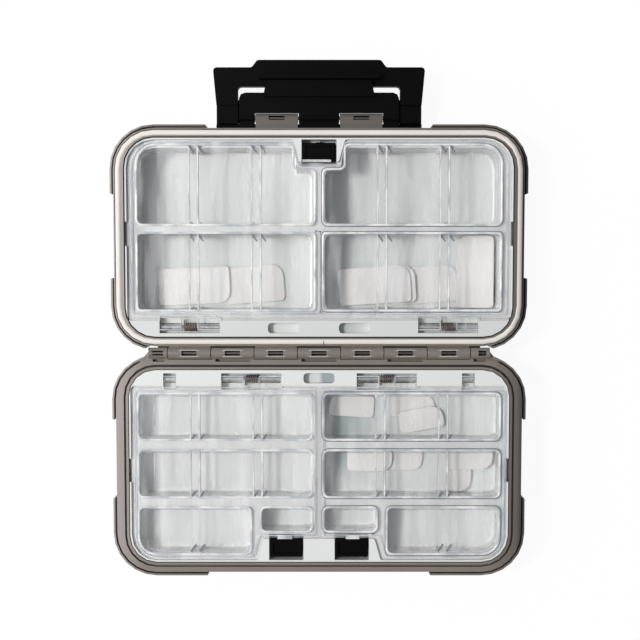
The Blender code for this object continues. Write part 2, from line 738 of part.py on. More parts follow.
def make_gasket():
    """A round cord of rubber that lies in the lid's groove and stands a little proud of it."""
    inset = LID_LIP + GASKET_GROOVE / 2
    half = RIM_HALF_WIDTH - inset
    radius = CORNER_RADIUS - inset
    rear, front = RIM_REAR + inset, RIM_FRONT - inset
    corners = [(-half, rear, radius), (half, rear, radius), (half, front, radius), (-half, front, radius)]
    height = SHELL_DEPTH + GASKET_PROUD - GASKET_WIDTH / 2
    path = [(p.x, p.y, height) for p in rounded(corners)]
    piece("gasket", "lid", GASKET_RUBBER, tube(path, GASKET_WIDTH / 2, closed=True))


def make_hinge_pin():
    ends = (-HINGE_HALF_LENGTH + PIN_STOP, HINGE_HALF_LENGTH - PIN_STOP - FIT_GAP)
    piece("hinge_pin", "base", PIN_STEEL, rod(ends, 0.0, SHELL_DEPTH, PIN_RADIUS, PIN_SIDES))


# Trays

class Tray:
    """The sizes of one tray, in distances from the main hinge axis."""

    def __init__(self, side):
        lid = side == LID
        self.side = side
        cavity_inset = LID_CAVITY if lid else BASE_CAVITY
        end_trim = LID_END_TRIM if lid else BASE_END_TRIM
        gap = LID_TRAY_GAP if lid else BASE_TRAY_GAP
        self.inset = cavity_inset + gap
        self.end_trim = end_trim
        self.half = RIM_HALF_WIDTH - self.inset
        self.rear = RIM_REAR + self.inset - end_trim
        self.front = RIM_FRONT - self.inset + end_trim
        self.radius = CORNER_RADIUS - self.inset
        self.pin = LID_TRAY_PIN if lid else BASE_TRAY_PIN
        self.cell_floor = LID_CELL_FLOOR if lid else BASE_CELL_FLOOR
        self.cell_centre = LID_CELL_CENTRE if lid else BASE_CELL_CENTRE
        self.cell_rear = self.pin + (LID_CELL_SETBACK if lid else BASE_CELL_SETBACK)
        front_margin = LID_CELL_FRONT_MARGIN if lid else BASE_CELL_FRONT_MARGIN
        side_margin = LID_CELL_SIDE_MARGIN if lid else BASE_CELL_SIDE_MARGIN
        self.cell_front = self.front - front_margin
        self.side_margin = side_margin
        self.cell_outer = self.half - side_margin
        self.well_front = self.front - TRAY_BORDER
        self.button_front = self.well_front - BUTTON_TRAVEL - FIT_GAP
        self.button_rear = self.button_front - BUTTON_LENGTH
        self.hook = self.button_rear - FIT_GAP - HOOK_THICKNESS
        self.well_rear = self.hook - WELL_REAR_GAP
        self.notch = self.hook + HOOK_THICKNESS
        self.buttons = (0.0,) if lid else (-BASE_BUTTON_PLACE, BASE_BUTTON_PLACE)
        self.plate_rear = self.pin + LID_PIVOT_AHEAD
        self.plate_front = self.front - TRAY_BORDER - LID_EDGE_GAP
        self.plate_half = self.half - TRAY_BORDER - LID_EDGE_GAP

    def cells(self):
        """Each cell as its x and distance spans, the radius of its outer front corner and its slots."""
        found = []
        width = self.cell_outer - self.cell_centre
        length = self.cell_front - self.cell_rear
        rows = LID_ROW_SHARES if self.side == LID else BASE_ROW_SHARES
        front_corner = max(self.radius - self.side_margin, CELL_CORNER)
        for row, shares in enumerate(rows):
            near, far = (self.cell_rear + share * length for share in shares)
            last = row == len(rows) - 1
            slots = [self.cell_centre + share * width for share in CELL_SLOT_SHARES]
            corner = front_corner if last else CELL_CORNER
            if last and self.side == BASE:
                start = self.cell_centre + WIDE_CELL_START_SHARE * width
                end = self.cell_centre + SMALL_CELL_END_SHARE * width
                slots = [start + WIDE_CELL_SLOT_SHARE * (self.cell_outer - start)]
                found.append(((start, self.cell_outer), (near, far), corner, slots, None))
                small = (near, self.well_rear - WELL_CELL_WALL)
                found.append(((self.cell_centre, end), small, CELL_CORNER, [], None))
            else:
                step = None
                if last:
                    step = (PAD_HALF_WIDTH + CUP_WALL, self.well_rear - WELL_CELL_WALL)
                found.append(((self.cell_centre, self.cell_outer), (near, far), corner, slots, step))
        return found

    def hinge_blocks(self):
        """The x spans of the hinge pockets on the right-hand side: the sprung one first."""
        half = SPRING_HINGE_LENGTH / 2
        share = LID_SPRING_HINGE_SHARE if self.side == LID else BASE_SPRING_HINGE_SHARE
        found = [(self.half * share - half, self.half * share + half)]
        if self.side == BASE:
            half = SMALL_HINGE_LENGTH / 2
            middle = self.half * BASE_SMALL_HINGE_SHARE
            found.append((middle - half, middle + half))
        return found


TRAYS = {LID: Tray(LID), BASE: Tray(BASE)}


def mirrored(span, hand):
    return (span[0], span[1]) if hand > 0 else (-span[1], -span[0])


def cell_blocks(tray, cell, hand, grow, z, fillet=0.0):
    """The blocks that fill one cell, drawn out by grow. A cell stepped round a button takes two."""
    (left, right), (near, far), corner, _, step = cell
    small = 0.0 if grow > 0.0 else CELL_CORNER + grow
    outer = corner + grow
    y = (tray.side * (near - grow), tray.side * (far + grow))
    across = (left, right) if step is None else (step[0], right)
    blocks = [(mirrored((across[0] - grow, across[1] + grow), hand), y, z, outer)]
    if step is not None:
        short = (tray.side * (near - grow + STEP_MISMATCH), tray.side * (step[1] + grow))
        over = mirrored((left - grow, step[0] + CELL_CORNER * 2), hand)
        blocks.append((over, short, (z[0] + STEP_MISMATCH, z[1] - STEP_MISMATCH), small))
    made = []
    for x, y, z, front in blocks:
        order = [small, small, small, small]
        order[corner_index(hand, tray.side)] = front
        made.append(block(x, y, z, tuple(order), bottom=fillet))
    return made


def corner_index(hand, side):
    """Which upright edge of a block is its outer front one."""
    if side == LID:
        return 2 if hand > 0 else 3
    return 1 if hand > 0 else 0


def lid_outline(tray, hand, grow):
    """The outline of a clear lid, drawn out by grow to make the recess that it lies in."""
    s = tray.side
    half = tray.plate_half + grow
    front = tray.plate_front + grow
    rear = tray.plate_rear - (LID_REAR_GAP if grow else 0.0)
    radius = tray.radius - TRAY_BORDER - LID_EDGE_GAP + grow
    back = LID_REAR_CORNER
    turn = LID_NOTCH_CORNER
    notch = tray.notch + grow
    if s == LID:
        pad = PAD_HALF_WIDTH - grow
        wide = pad + PAD_SPREAD
        return [
            (-half, s * rear, back), (half, s * rear, back), (half, s * front, radius),
            (wide, s * front, turn), (pad, s * notch, turn), (-pad, s * notch, turn),
            (-wide, s * front, turn), (-half, s * front, radius),
        ]
    pad = BASE_PAD_HALF_WIDTH - grow
    wide = pad + PAD_SPREAD
    if grow:
        return [
            (-half, s * rear, back), (half, s * rear, back), (half, s * front, radius),
            (wide, s * front, turn), (pad, s * notch, turn), (-pad, s * notch, turn),
            (-wide, s * front, turn), (-half, s * front, radius),
        ]
    inner = LID_CENTRE_GAP / 2
    return [
        (hand * inner, s * rear, back), (hand * half, s * rear, back), (hand * half, s * front, radius),
        (hand * wide, s * front, turn), (hand * pad, s * notch, turn), (hand * inner, s * notch, turn),
    ]


def slot_ribs(tray):
    """Pairs of ribs on the long walls of the cells; a divider slides down between each pair."""
    ribs = []
    offset = DIVIDER_THICKNESS / 2 + DIVIDER_CLEARANCE
    top = DECK_TOP - SLOT_RIB_DROP
    bottom = tray.cell_floor + CELL_FILLET + FIT_GAP
    for cell in tray.cells():
        (_, _), (near, far), _, slots, _ = cell
        for slot in slots:
            for hand in (-1, 1):
                for way in (-1, 1):
                    start = hand * slot + way * offset
                    x = (start, start + way * SLOT_RIB_THICKNESS)
                    near_wall = (tray.side * (near - CUP_WALL / 2), tray.side * (near + SLOT_RIB_REACH))
                    far_wall = (tray.side * (far - SLOT_RIB_REACH), tray.side * (far + CUP_WALL / 2))
                    ribs.append(block(x, near_wall, (bottom, top)))
                    ribs.append(block(x, far_wall, (bottom, top)))
    return ribs


def make_tray(name, body, tray):
    s = tray.side
    blank = slab(s, tray.inset, (TRAY_FOOT, TRAY_TOP), tray.end_trim)
    under = slab(s, tray.inset + TRAY_SKIRT, (TRAY_FOOT - OVERRUN, DECK_BOTTOM), tray.end_trim)
    recess = plate(lid_outline(tray, 1, LID_EDGE_GAP), (DECK_TOP, TRAY_TOP + OVERRUN))
    cups, pockets = [], []
    for cell in tray.cells():
        for hand in (-1, 1):
            outer_floor = tray.cell_floor - CUP_WALL
            cups += cell_blocks(tray, cell, hand, CUP_WALL, (outer_floor, DECK_TOP - FIT_GAP))
            pockets += cell_blocks(
                tray, cell, hand, 0.0, (tray.cell_floor, TRAY_TOP + OVERRUN), CELL_FILLET
            )
    well_half = BUTTON_HALF_WIDTH + BUTTON_SIDE_GAP
    well_bottom = TRAY_TOP - WELL_DEPTH
    for x in tray.buttons:
        cups.append(
            block(
                (x - well_half - CUP_WALL, x + well_half + CUP_WALL),
                (s * (tray.well_rear - CUP_WALL), s * (tray.front - TRAY_SKIRT / 2)),
                (well_bottom - WELL_FLOOR, DECK_BOTTOM + DECK_THICKNESS / 2),
            )
        )
        pockets.append(
            block((x - well_half, x + well_half), (s * tray.well_rear, s * tray.well_front),
                  (well_bottom, TRAY_TOP + OVERRUN))
        )
        stem_near = tray.button_rear + STEM_SETBACK
        pockets.append(
            block(
                (x - STEM_HALF_WIDTH - STEM_GAP, x + STEM_HALF_WIDTH + STEM_GAP),
                (s * (stem_near - STEM_GAP), s * (stem_near + STEM_LENGTH + BUTTON_TRAVEL + STEM_GAP)),
                (well_bottom - WELL_FLOOR - OVERRUN, well_bottom + OVERRUN),
            )
        )
    middle = tray.pin - OVAL_SETBACK
    for x in (-LID_OVAL_PLACE, LID_OVAL_PLACE) if s == LID else (0.0,):
        oval_x = (x - OVAL_HALF_LENGTH, x + OVAL_HALF_LENGTH)
        oval_y = (s * (middle - OVAL_HALF_WIDTH), s * (middle + OVAL_HALF_WIDTH))
        rounding = OVAL_HALF_WIDTH * OVAL_CORNER_SHARE
        oval_z = (TRAY_TOP - OVAL_DEPTH, TRAY_TOP + OVERRUN)
        pockets.append(block(oval_x, oval_y, oval_z, rounding))
        wall = (oval_x[0] - CUP_WALL, oval_x[1] + CUP_WALL)
        near, far = middle - OVAL_HALF_WIDTH - CUP_WALL, middle + OVAL_HALF_WIDTH + CUP_WALL
        cup_z = (oval_z[0] - CUP_WALL, DECK_BOTTOM + DECK_THICKNESS / 2)
        cups.append(block(wall, (s * near, s * far), cup_z))
    pocket_floor = TRAY_TOP - POCKET_DEPTH
    bore = LID_PIN_RADIUS + PIN_CLEARANCE
    for low, high in tray.hinge_blocks():
        for hand in (-1, 1):
            outer = mirrored((low - POCKET_WALL, high + POCKET_WALL), hand)
            near, far = tray.pin - POCKET_BEHIND, tray.pin + POCKET_AHEAD
            cups.append(
                block(outer, (s * (near - FIT_GAP), s * (far + POCKET_WALL)),
                      (pocket_floor - CUP_WALL, DECK_TOP - FIT_GAP))
            )
            pockets.append(
                block(mirrored((low, high), hand), (s * near, s * far), (pocket_floor, TRAY_TOP + OVERRUN))
            )
            reach = mirrored((low - POCKET_WALL + FIT_GAP, high + POCKET_WALL + OVERRUN), hand)
            pockets.append(rod(reach, s * tray.pin, LID_PIN_HEIGHT, bore, PIN_SIDES))
    joins = slot_ribs(tray)
    band_bottom = SHELL_DEPTH - RIM_HEIGHT
    middle = tray.rear + CLIP_PLACE_SHARE * (tray.front - tray.rear)
    clip_y = (s * (middle - CLIP_WIDTH / 2), s * (middle + CLIP_WIDTH / 2))
    for hand in (-1, 1):
        clip_x = mirrored((tray.half - TRAY_SKIRT / 2, tray.half + CLIP_REACH), hand)
        clip_top = band_bottom - FIT_GAP
        joins.append(block(clip_x, clip_y, (clip_top - CLIP_HEIGHT, clip_top)))
        slot_x = mirrored((tray.half - CLIP_SLOT, tray.half + OVERRUN), hand)
        pockets.append(block(slot_x, clip_y, (clip_top + CLIP_HEIGHT, TRAY_TOP + OVERRUN)))
    stages = [("DIFFERENCE", [under]), ("UNION", cups), ("DIFFERENCE", [recess, *pockets]), ("UNION", joins)]
    piece(name, body, TRAY_PLASTIC, blank, stages)


# Loose dividers

def divider(length, width, hand):
    """A flat plate with one corner rounded wide, on the long side that hand says."""
    x, y = length / 2, hand * width / 2
    small = DIVIDER_CORNER
    outline = [(-x, -y, small), (x, -y, small), (x, y, DIVIDER_WIDE_CORNER), (-x, y, small)]
    return plate(outline, (-DIVIDER_THICKNESS / 2, DIVIDER_THICKNESS / 2))


def spare_place(tray, table, n, length, width):
    """Where the nth loose divider lies: its middle, its turn, its lean and its reach along X."""
    hand, row, across, along, turn, tilt, level, _, support = table[n]
    (left, right), (near, far), _, slots, _ = tray.cells()[row]
    swing, lean = turn * math.pi / 2, tilt * math.pi / 2
    part_along, part_across = abs(math.cos(swing)), abs(math.sin(swing))
    if part_across > part_along:
        left = slots[-1] + DIVIDER_THICKNESS / 2 + DIVIDER_CLEARANCE + SLOT_RIB_THICKNESS
    reach_x = (length * part_along + width * part_across) / 2
    reach_y = (length * part_across + width * part_along) / 2
    margin = 0.0 if level else CELL_FILLET * SPARE_MARGIN_SHARE
    if support < 0:
        (beside_x, _, _), _, _, beside_reach = spare_place(tray, table, -support - 1, length, width)
        left = abs(beside_x) + beside_reach + FIT_GAP - margin
    room_x = right - left - (margin + reach_x) * 2
    room_y = far - near - (margin + reach_y) * 2
    x = hand * (left + margin + reach_x + across * room_x)
    y = tray.side * (near + margin + reach_y + along * room_y)
    pitch = DIVIDER_THICKNESS + FIT_GAP
    lying = tray.cell_floor + FIT_GAP + DIVIDER_THICKNESS / 2
    height = lying + abs(math.sin(lean)) * reach_x + level * pitch
    if support > 0:
        (under_x, _, under_height), _, under_lean, under_reach = spare_place(
            tray, table, support - 1, length, width
        )
        if under_lean:
            lean = under_lean
            height = under_height - math.tan(lean) * (x - under_x) + pitch
        else:
            way = math.copysign(1, under_x - x)
            slope = math.atan(pitch / ((under_x - x) * way + reach_x - under_reach))
            lean = -way * slope
            height = lying + math.sin(slope) * reach_x
    return (x, y, height), swing, lean, reach_x


def make_spares():
    """The spare dividers that lie loose in the cells, flat, stacked or leaning on one another."""
    tables = ((LID, "lid", "upper", LID_SPARE_SHARES), (BASE, "base", "lower", BASE_SPARE_SHARES))
    for side, body, word, table in tables:
        tray = TRAYS[side]
        length = min(far - near for near, far in (cell[1] for cell in tray.cells() if cell[3]))
        length -= DIVIDER_END_GAP * 2
        width = DECK_TOP - tray.cell_floor - DIVIDER_TOP_GAP
        for n in range(len(table)):
            place, swing, lean, _ = spare_place(tray, table, n, length, width)
            *_, wide_side, _ = table[n]
            mesh = divider(length, width, wide_side)
            turned = Matrix.Rotation(lean, 4, "Y") @ Matrix.Rotation(swing, 4, "Z")
            mesh.transform(Matrix.Translation(place) @ turned)
            piece(f"{word}_spare_divider_{n + 1}", body, DIVIDER_PLASTIC, mesh)


# Clear lids, with their hinges

def lid_knuckles(low, high):
    """The two barrels of a clear lid in a sprung pocket, with the spring between them, or the
    one barrel in a small pocket."""
    low, high = low + POCKET_SIDE_GAP, high - POCKET_SIDE_GAP
    if high - low < SPRING_HINGE_LENGTH / 2:
        return [(low, high)]
    coil = spring_span(low, high)
    return [(low, coil[0] - FIT_GAP * 2), (coil[1] + FIT_GAP * 2, high)]


def spring_span(low, high):
    """The stretch of a sprung pocket that the coil takes."""
    half = (SPRING_TURNS * SPRING_PITCH + SPRING_WIRE * 2) / 2
    middle = (low + high) / 2
    return (middle - half, middle + half)


def make_clear_lid(name, tray, hand):
    """A clear plate with a ridge round each cell, rib pairs over the slots, its barrels and its hook."""
    s = tray.side
    hands = (-1, 1) if s == LID else (hand,)
    z = (LID_PLATE_BOTTOM, TRAY_TOP)
    blank = plate(lid_outline(tray, hand, 0.0), z)
    ridge_z = (LID_PLATE_BOTTOM - RIDGE_HEIGHT, LID_PLATE_BOTTOM + LID_PLATE / 2)
    relief_z = (LID_PLATE_BOTTOM - RIDGE_HEIGHT - OVERRUN, LID_PLATE_BOTTOM + RIDGE_RELIEF)
    rings, reliefs, ribs = [], [], []
    for cell in tray.cells():
        (_, _), (near, far), _, slots, step = cell
        for way in hands:
            inner = -RIDGE_INSET - RIDGE_WIDTH
            rings += cell_blocks(tray, cell, way, -RIDGE_INSET, ridge_z)
            reliefs += cell_blocks(tray, cell, way, inner, relief_z)
            for slot in slots:
                for offset in (-LID_RIB_SPREAD, LID_RIB_SPREAD):
                    middle = way * slot + offset
                    x = (middle - RIDGE_WIDTH / 2, middle + RIDGE_WIDTH / 2)
                    inset = RIDGE_INSET + RIDGE_WIDTH / 2
                    rib_z = (ridge_z[0] + STEP_MISMATCH, ridge_z[1] - STEP_MISMATCH)
                    ribs.append(block(x, (s * (near + inset), s * (far - inset)), rib_z))
    bore = LID_PIN_RADIUS + PIN_CLEARANCE
    bores = []
    for low, high in tray.hinge_blocks():
        for way in hands:
            bores.append(rod(mirrored((low, high), way), s * tray.pin, LID_PIN_HEIGHT, bore, PIN_SIDES))
            for span in lid_knuckles(low, high):
                x = mirrored(span, way)
                ribs.append(rod(x, s * tray.pin, LID_PIN_HEIGHT, LID_KNUCKLE_RADIUS))
                arm_top = TRAY_TOP - LID_KNUCKLE_DROP
                arm_y = (s * tray.pin, s * (tray.pin + POCKET_AHEAD - FIT_GAP))
                ribs.append(block(narrower(x), arm_y, (arm_top - LID_PLATE, arm_top - STEP_MISMATCH)))
    for x in tray.buttons:
        if s == LID or x * hand > 0:
            across = (x - HOOK_HALF_WIDTH, x + HOOK_HALF_WIDTH)
            hook_y = (s * tray.hook, s * (tray.notch - STEP_MISMATCH))
            hook_z = (LID_PLATE_BOTTOM - HOOK_DROP, LID_PLATE_BOTTOM + LID_PLATE / 2)
            ribs.append(block(across, hook_y, hook_z))
    stages = [("UNION", rings), ("DIFFERENCE", reliefs), ("UNION", ribs), ("DIFFERENCE", bores)]
    piece(name, name, CLEAR_PLASTIC, blank, stages)


def make_lid_pins():
    """Six short pins: two for the upper clear lid and two for each lower one."""
    for side, body in ((LID, "lid"), (BASE, "base")):
        tray = TRAYS[side]
        for kind, (low, high) in zip(("spring", "plain"), tray.hinge_blocks()):
            for hand, word in ((-1, "left"), (1, "right")):
                half = "upper" if side == LID else "lower"
                ends = mirrored((low - POCKET_WALL + FIT_GAP * 2, high + POCKET_WALL - FIT_GAP), hand)
                pin = rod(ends, side * tray.pin, LID_PIN_HEIGHT, LID_PIN_RADIUS, PIN_SIDES)
                piece(f"{half}_{word}_{kind}_hinge_pin", body, PIN_STEEL, pin)


def least_gap(path, wire, turn_points):
    """The least clear distance between turns of a coil."""
    least = math.inf
    for n, point in enumerate(path):
        for other in path[n + turn_points // 2 + 1:]:
            least = min(least, (Vector(point) - Vector(other)).length)
    return least - 2 * wire


def make_lid_springs():
    """A torsion spring on each sprung pin: its rear leg pushes on the pocket, its front one on the lid."""
    for side, body in ((LID, "lid"), (BASE, "base")):
        tray = TRAYS[side]
        low, high = tray.hinge_blocks()[0]
        start = spring_span(low, high)[0] + SPRING_WIRE
        for hand, word in ((-1, "left"), (1, "right")):
            rear = -math.pi / 2
            total = SPRING_TURNS * 2 * math.pi + rear - SPRING_LEG_ANGLE
            steps = round(total / (2 * math.pi) * SPRING_POINTS)
            coil = []
            for n in range(steps + 1):
                share = n / steps
                angle = rear - share * total
                x = start + share * SPRING_TURNS * SPRING_PITCH
                coil.append((x, SPRING_COIL_RADIUS * math.cos(angle), SPRING_COIL_RADIUS * math.sin(angle)))
            first, last = coil[0], coil[-1]
            along = (math.sin(SPRING_LEG_ANGLE), -math.cos(SPRING_LEG_ANGLE))
            legs = [(first[0], -SPRING_REAR_LEG, first[2])]
            ends = [(last[0], last[1] + along[0] * SPRING_LEG, last[2] + along[1] * SPRING_LEG)]
            route = [
                (hand * x, side * (tray.pin + y), LID_PIN_HEIGHT + z) for x, y, z in legs + coil + ends
            ]
            gap = least_gap(route[1:-1], SPRING_WIRE, SPRING_POINTS)
            half = "upper" if side == LID else "lower"
            name = f"{half}_{word}_lid_spring"
            print(f"{name}: least gap between turns {gap * 1000:.2f} mm")
            piece(name, body, SPRING_STEEL, tube(route, SPRING_WIRE))


# Catch buttons and their springs

def make_buttons():
    for side, parent in ((LID, "lid"), (BASE, "base")):
        tray = TRAYS[side]
        for x in tray.buttons:
            word = "upper" if side == LID else ("left" if x < 0 else "right")
            name = f"{word}_catch_button"
            middle = (tray.button_rear + tray.button_front) / 2
            add_body(name, (x, side * middle, TRAY_TOP), parent)
            across = (x - BUTTON_HALF_WIDTH, x + BUTTON_HALF_WIDTH)
            plate_bottom = TRAY_TOP - BUTTON_PLATE
            blank = block(
                across, (side * tray.button_rear, side * tray.button_front),
                (plate_bottom, TRAY_TOP), BUTTON_EDGE, top=BUTTON_EDGE,
            )
            well_floor = TRAY_TOP - WELL_DEPTH
            near = tray.button_rear + STEM_SETBACK
            stem_y = (side * near, side * (near + STEM_LENGTH))
            foot_top = well_floor - WELL_FLOOR - FIT_GAP
            stem = block(
                (x - STEM_HALF_WIDTH, x + STEM_HALF_WIDTH), stem_y,
                (foot_top - STEM_FOOT / 2, plate_bottom + BUTTON_EDGE),
            )
            foot_half = STEM_HALF_WIDTH + STEM_GAP + STEM_BARB
            foot = block((x - foot_half, x + foot_half), stem_y, (foot_top - STEM_FOOT, foot_top))
            inset = BUTTON_DISH_MARGIN
            dish = block(
                (across[0] + inset, across[1] - inset),
                (side * (tray.button_rear + inset), side * (tray.button_front - inset)),
                (TRAY_TOP - BUTTON_DISH, TRAY_TOP + OVERRUN), BUTTON_EDGE,
            )
            stages = [("UNION", [stem, foot]), ("DIFFERENCE", [dish])]
            piece(name, name, BLACK_PLASTIC, blank, stages)
            make_button_spring(word, parent, tray, x, near + STEM_LENGTH, plate_bottom)


def make_button_spring(word, body, tray, x, near, plate_bottom):
    """A small compression spring from the button's stem to the front wall of its well."""
    start = near + FIT_GAP + SPRING_WIRE
    length = tray.well_front - FIT_GAP - SPRING_WIRE - start
    height = plate_bottom - BUTTON_SPRING_DROP
    steps = BUTTON_SPRING_TURNS * SPRING_POINTS
    route = []
    for n in range(steps + 1):
        angle = n * 2 * math.pi / SPRING_POINTS
        route.append((
            x + BUTTON_SPRING_RADIUS * math.cos(angle),
            tray.side * (start + length * n / steps),
            height + BUTTON_SPRING_RADIUS * math.sin(angle),
        ))
    gap = least_gap(route, SPRING_WIRE, SPRING_POINTS)
    print(f"{word}_button_spring: least gap between turns {gap * 1000:.2f} mm")
    piece(f"{word}_button_spring", body, SPRING_STEEL, tube(route, SPRING_WIRE))


# Front latch

def make_latch():
    axis, z = LATCH_AXIS, LATCH_HEIGHT
    pivot = LATCH_PIVOT
    radius = LATCH_KNUCKLE_RADIUS
    bore = PIN_RADIUS + PIN_CLEARANCE
    shell_end = LATCH_CENTRE_KNUCKLE + FIT_GAP + SHELL_KNUCKLE_LENGTH + FIT_GAP
    knuckle_room = radius + FIT_GAP
    slot_reach = radius + OVERRUN
    slot_edge = LATCH_CENTRE_KNUCKLE
    link_z = (z - LINK_BOTTOM, z + LINK_TOP)
    arm_z = (z - LINK_BOTTOM + STEP_MISMATCH, z + LINK_TOP - STEP_MISMATCH)
    lever_start = PIVOT_CENTRE_KNUCKLE
    link_end = lever_start + FIT_GAP + PIVOT_LINK_KNUCKLE
    lever_end = link_end + FIT_GAP + PIVOT_OUTER_KNUCKLE
    link_half = LINK_HALF_WIDTH
    link = plate(
        [
            (-link_half, axis, 0.0), (link_half, axis, 0.0),
            (link_half, axis + LINK_LENGTH, LINK_CORNER), (-link_half, axis + LINK_LENGTH, LINK_CORNER),
        ],
        link_z,
    )
    joins = [
        rod((-slot_edge, slot_edge), axis, z, radius),
        rod((shell_end, link_half), axis, z, radius),
        rod((-link_half, -shell_end), axis, z, radius),
    ]
    skirt_y = (axis - LINK_SKIRT_REACH, axis)
    skirt_z = (link_z[0] + STEP_MISMATCH * 2, link_z[1] - STEP_MISMATCH * 2)
    for span in ((-slot_edge, slot_edge), (shell_end, link_half), (-link_half, -shell_end)):
        joins.append(block(narrower(span), skirt_y, skirt_z))
    cuts = []
    for hand in (-1, 1):
        link_knuckle = mirrored((lever_start + FIT_GAP, link_end), hand)
        joins.append(rod(link_knuckle, pivot, z, radius))
        joins.append(block(narrower(link_knuckle), (axis + LINK_LENGTH - LINK_CORNER, pivot), arm_z))
        ledge_top = z - LEVER_BOTTOM - FIT_GAP
        ledge_y = (axis - radius, axis + LINK_LENGTH - LINK_CORNER)
        ledge = mirrored((link_half - LINK_LEDGE, link_half + LEVER_LEG_GAP + LINK_LEDGE), hand)
        joins.append(block(ledge, ledge_y, (ledge_top - LINK_LEDGE_THICKNESS, ledge_top)))
        wall = mirrored((link_half - LINK_LEDGE + STEP_MISMATCH, link_half - STEP_MISMATCH), hand)
        wall_y = (ledge_y[0] + STEP_MISMATCH, ledge_y[1] - STEP_MISMATCH)
        joins.append(block(wall, wall_y, (ledge_top - LINK_LEDGE_THICKNESS / 2, z)))
        shell_room = mirrored((slot_edge, shell_end), hand)
        room_y = (axis - OVERRUN, axis + knuckle_room)
        cuts.append(block(shell_room, room_y, (z - slot_reach, z + slot_reach)))
    for room in ((-lever_start - FIT_GAP, lever_start + FIT_GAP), (link_end, lever_end + FIT_GAP),
                 (-lever_end - FIT_GAP, -link_end)):
        cuts.append(block(room, (pivot - knuckle_room, pivot + OVERRUN), (z - slot_reach, z + slot_reach)))
    blind = link_half - LATCH_PIN_STOP
    pivot_blind = lever_end - LATCH_PIN_STOP
    bores = [
        rod((-link_half - OVERRUN, blind), axis, z, bore, PIN_SIDES),
        rod((-lever_end - OVERRUN, lever_end), pivot, z, bore, PIN_SIDES),
    ]
    stages = [("DIFFERENCE", cuts), ("UNION", joins), ("DIFFERENCE", bores)]
    piece("latch_link", "latch_link", BLACK_PLASTIC, link, stages)

    shoulder = axis + LEVER_REACH
    lip = LEVER_LIP_HALF_WIDTH
    waist = axis + LEVER_WAIST
    leg = LEVER_LEG_HALF_WIDTH
    back = axis - LEVER_LEG_BACK
    inner = link_half + LEVER_LEG_GAP
    turn = LEVER_CORNER
    half_outline = [
        (inner, axis + LEVER_BAR_START, turn), (inner, back, 0.0), (leg, back, 0.0), (leg, waist, turn),
        (LEVER_SHOULDER_HALF_WIDTH, shoulder, turn), (lip + LEVER_LIP_SLOPE, shoulder, turn),
        (lip, shoulder + LEVER_LIP, turn),
    ]
    outline = half_outline + [(-x, y, r) for x, y, r in reversed(half_outline)]
    lever = plate(outline, (z - LEVER_BOTTOM, z + LEVER_TOP))
    joins = [rod((-lever_start, lever_start), pivot, z, radius)]
    bar_start = axis + LEVER_BAR_START
    joins.append(block(narrower((-lever_start, lever_start)), (pivot, bar_start + radius), arm_z))
    cuts = []
    for hand in (-1, 1):
        outer_knuckle = mirrored((link_end + FIT_GAP, lever_end), hand)
        joins.append(rod(outer_knuckle, pivot, z, radius))
        joins.append(block(narrower(outer_knuckle), (pivot, bar_start + radius), arm_z))
        room = mirrored((lever_start, link_end + FIT_GAP), hand)
        room_y = (bar_start - OVERRUN, pivot + knuckle_room + FIT_GAP)
        cuts.append(block(room, room_y, (z - OVERRUN * 2, z + OVERRUN * 2)))
        legs = mirrored((inner - OVERRUN, LEVER_SHOULDER_HALF_WIDTH + OVERRUN), hand)
        cuts.append(block(legs, (back - OVERRUN, waist), (z, z + OVERRUN * 2)))
    cover = LEVER_COVER_HALF_WIDTH
    cover_root = cover - LEVER_COVER_SLOPE
    cover_bottom = z + radius + FIT_GAP
    cover_top = cover_bottom + LEVER_COVER_THICKNESS
    cover_near, cover_far = bar_start - LEVER_COVER_REACH, bar_start + LEVER_COVER_ROOT
    outline = [
        (-cover, cover_near, 0.0), (cover, cover_near, 0.0),
        (cover_root, cover_far, 0.0), (-cover_root, cover_far, 0.0),
    ]
    joins.append(plate(outline, (cover_bottom, cover_top)))
    root_y = (bar_start + LEVER_COVER_SETBACK, cover_far - STEP_MISMATCH)
    joins.append(block((-cover_root, cover_root), root_y, (z, cover_top - STEP_MISMATCH)))
    tip = LATCH_AXIS_AHEAD - CATCH_PROUD + CATCH_BITE
    hook_y = (axis + HOOK_BAR_FROM_AXIS, axis + HOOK_BAR_FROM_AXIS + HOOK_BAR_THICKNESS)
    joins.append(block((-HOOK_BAR_HALF_WIDTH, HOOK_BAR_HALF_WIDTH), hook_y, (z, z + tip)))
    bores = [rod((-pivot_blind, lever_end + OVERRUN), pivot, z, bore, PIN_SIDES)]
    stages = [("DIFFERENCE", cuts), ("UNION", joins), ("DIFFERENCE", bores)]
    piece("latch_lever", "latch_lever", BLACK_PLASTIC, lever, stages)

    ends = (-link_half + FIT_GAP, blind - FIT_GAP)
    piece("latch_hinge_pin", "latch_link", PIN_STEEL, rod(ends, axis, z, PIN_RADIUS, PIN_SIDES))
    ends = (-pivot_blind + FIT_GAP, lever_end - FIT_GAP)
    piece("latch_lever_pin", "latch_lever", PIN_STEEL, rod(ends, pivot, z, PIN_RADIUS, PIN_SIDES))


make_base_shell()
make_lid_shell()
make_gasket()
make_hinge_pin()
make_tray("lid_tray", "lid", TRAYS[LID])
make_tray("base_tray", "base", TRAYS[BASE])
make_spares()
make_clear_lid("upper_clear_lid", TRAYS[LID], 1)
make_clear_lid("left_clear_lid", TRAYS[BASE], -1)
make_clear_lid("right_clear_lid", TRAYS[BASE], 1)
make_lid_pins()
make_lid_springs()
make_buttons()
make_latch()
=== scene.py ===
import json
import math

import bmesh
import bpy
from mathutils import Matrix, Vector

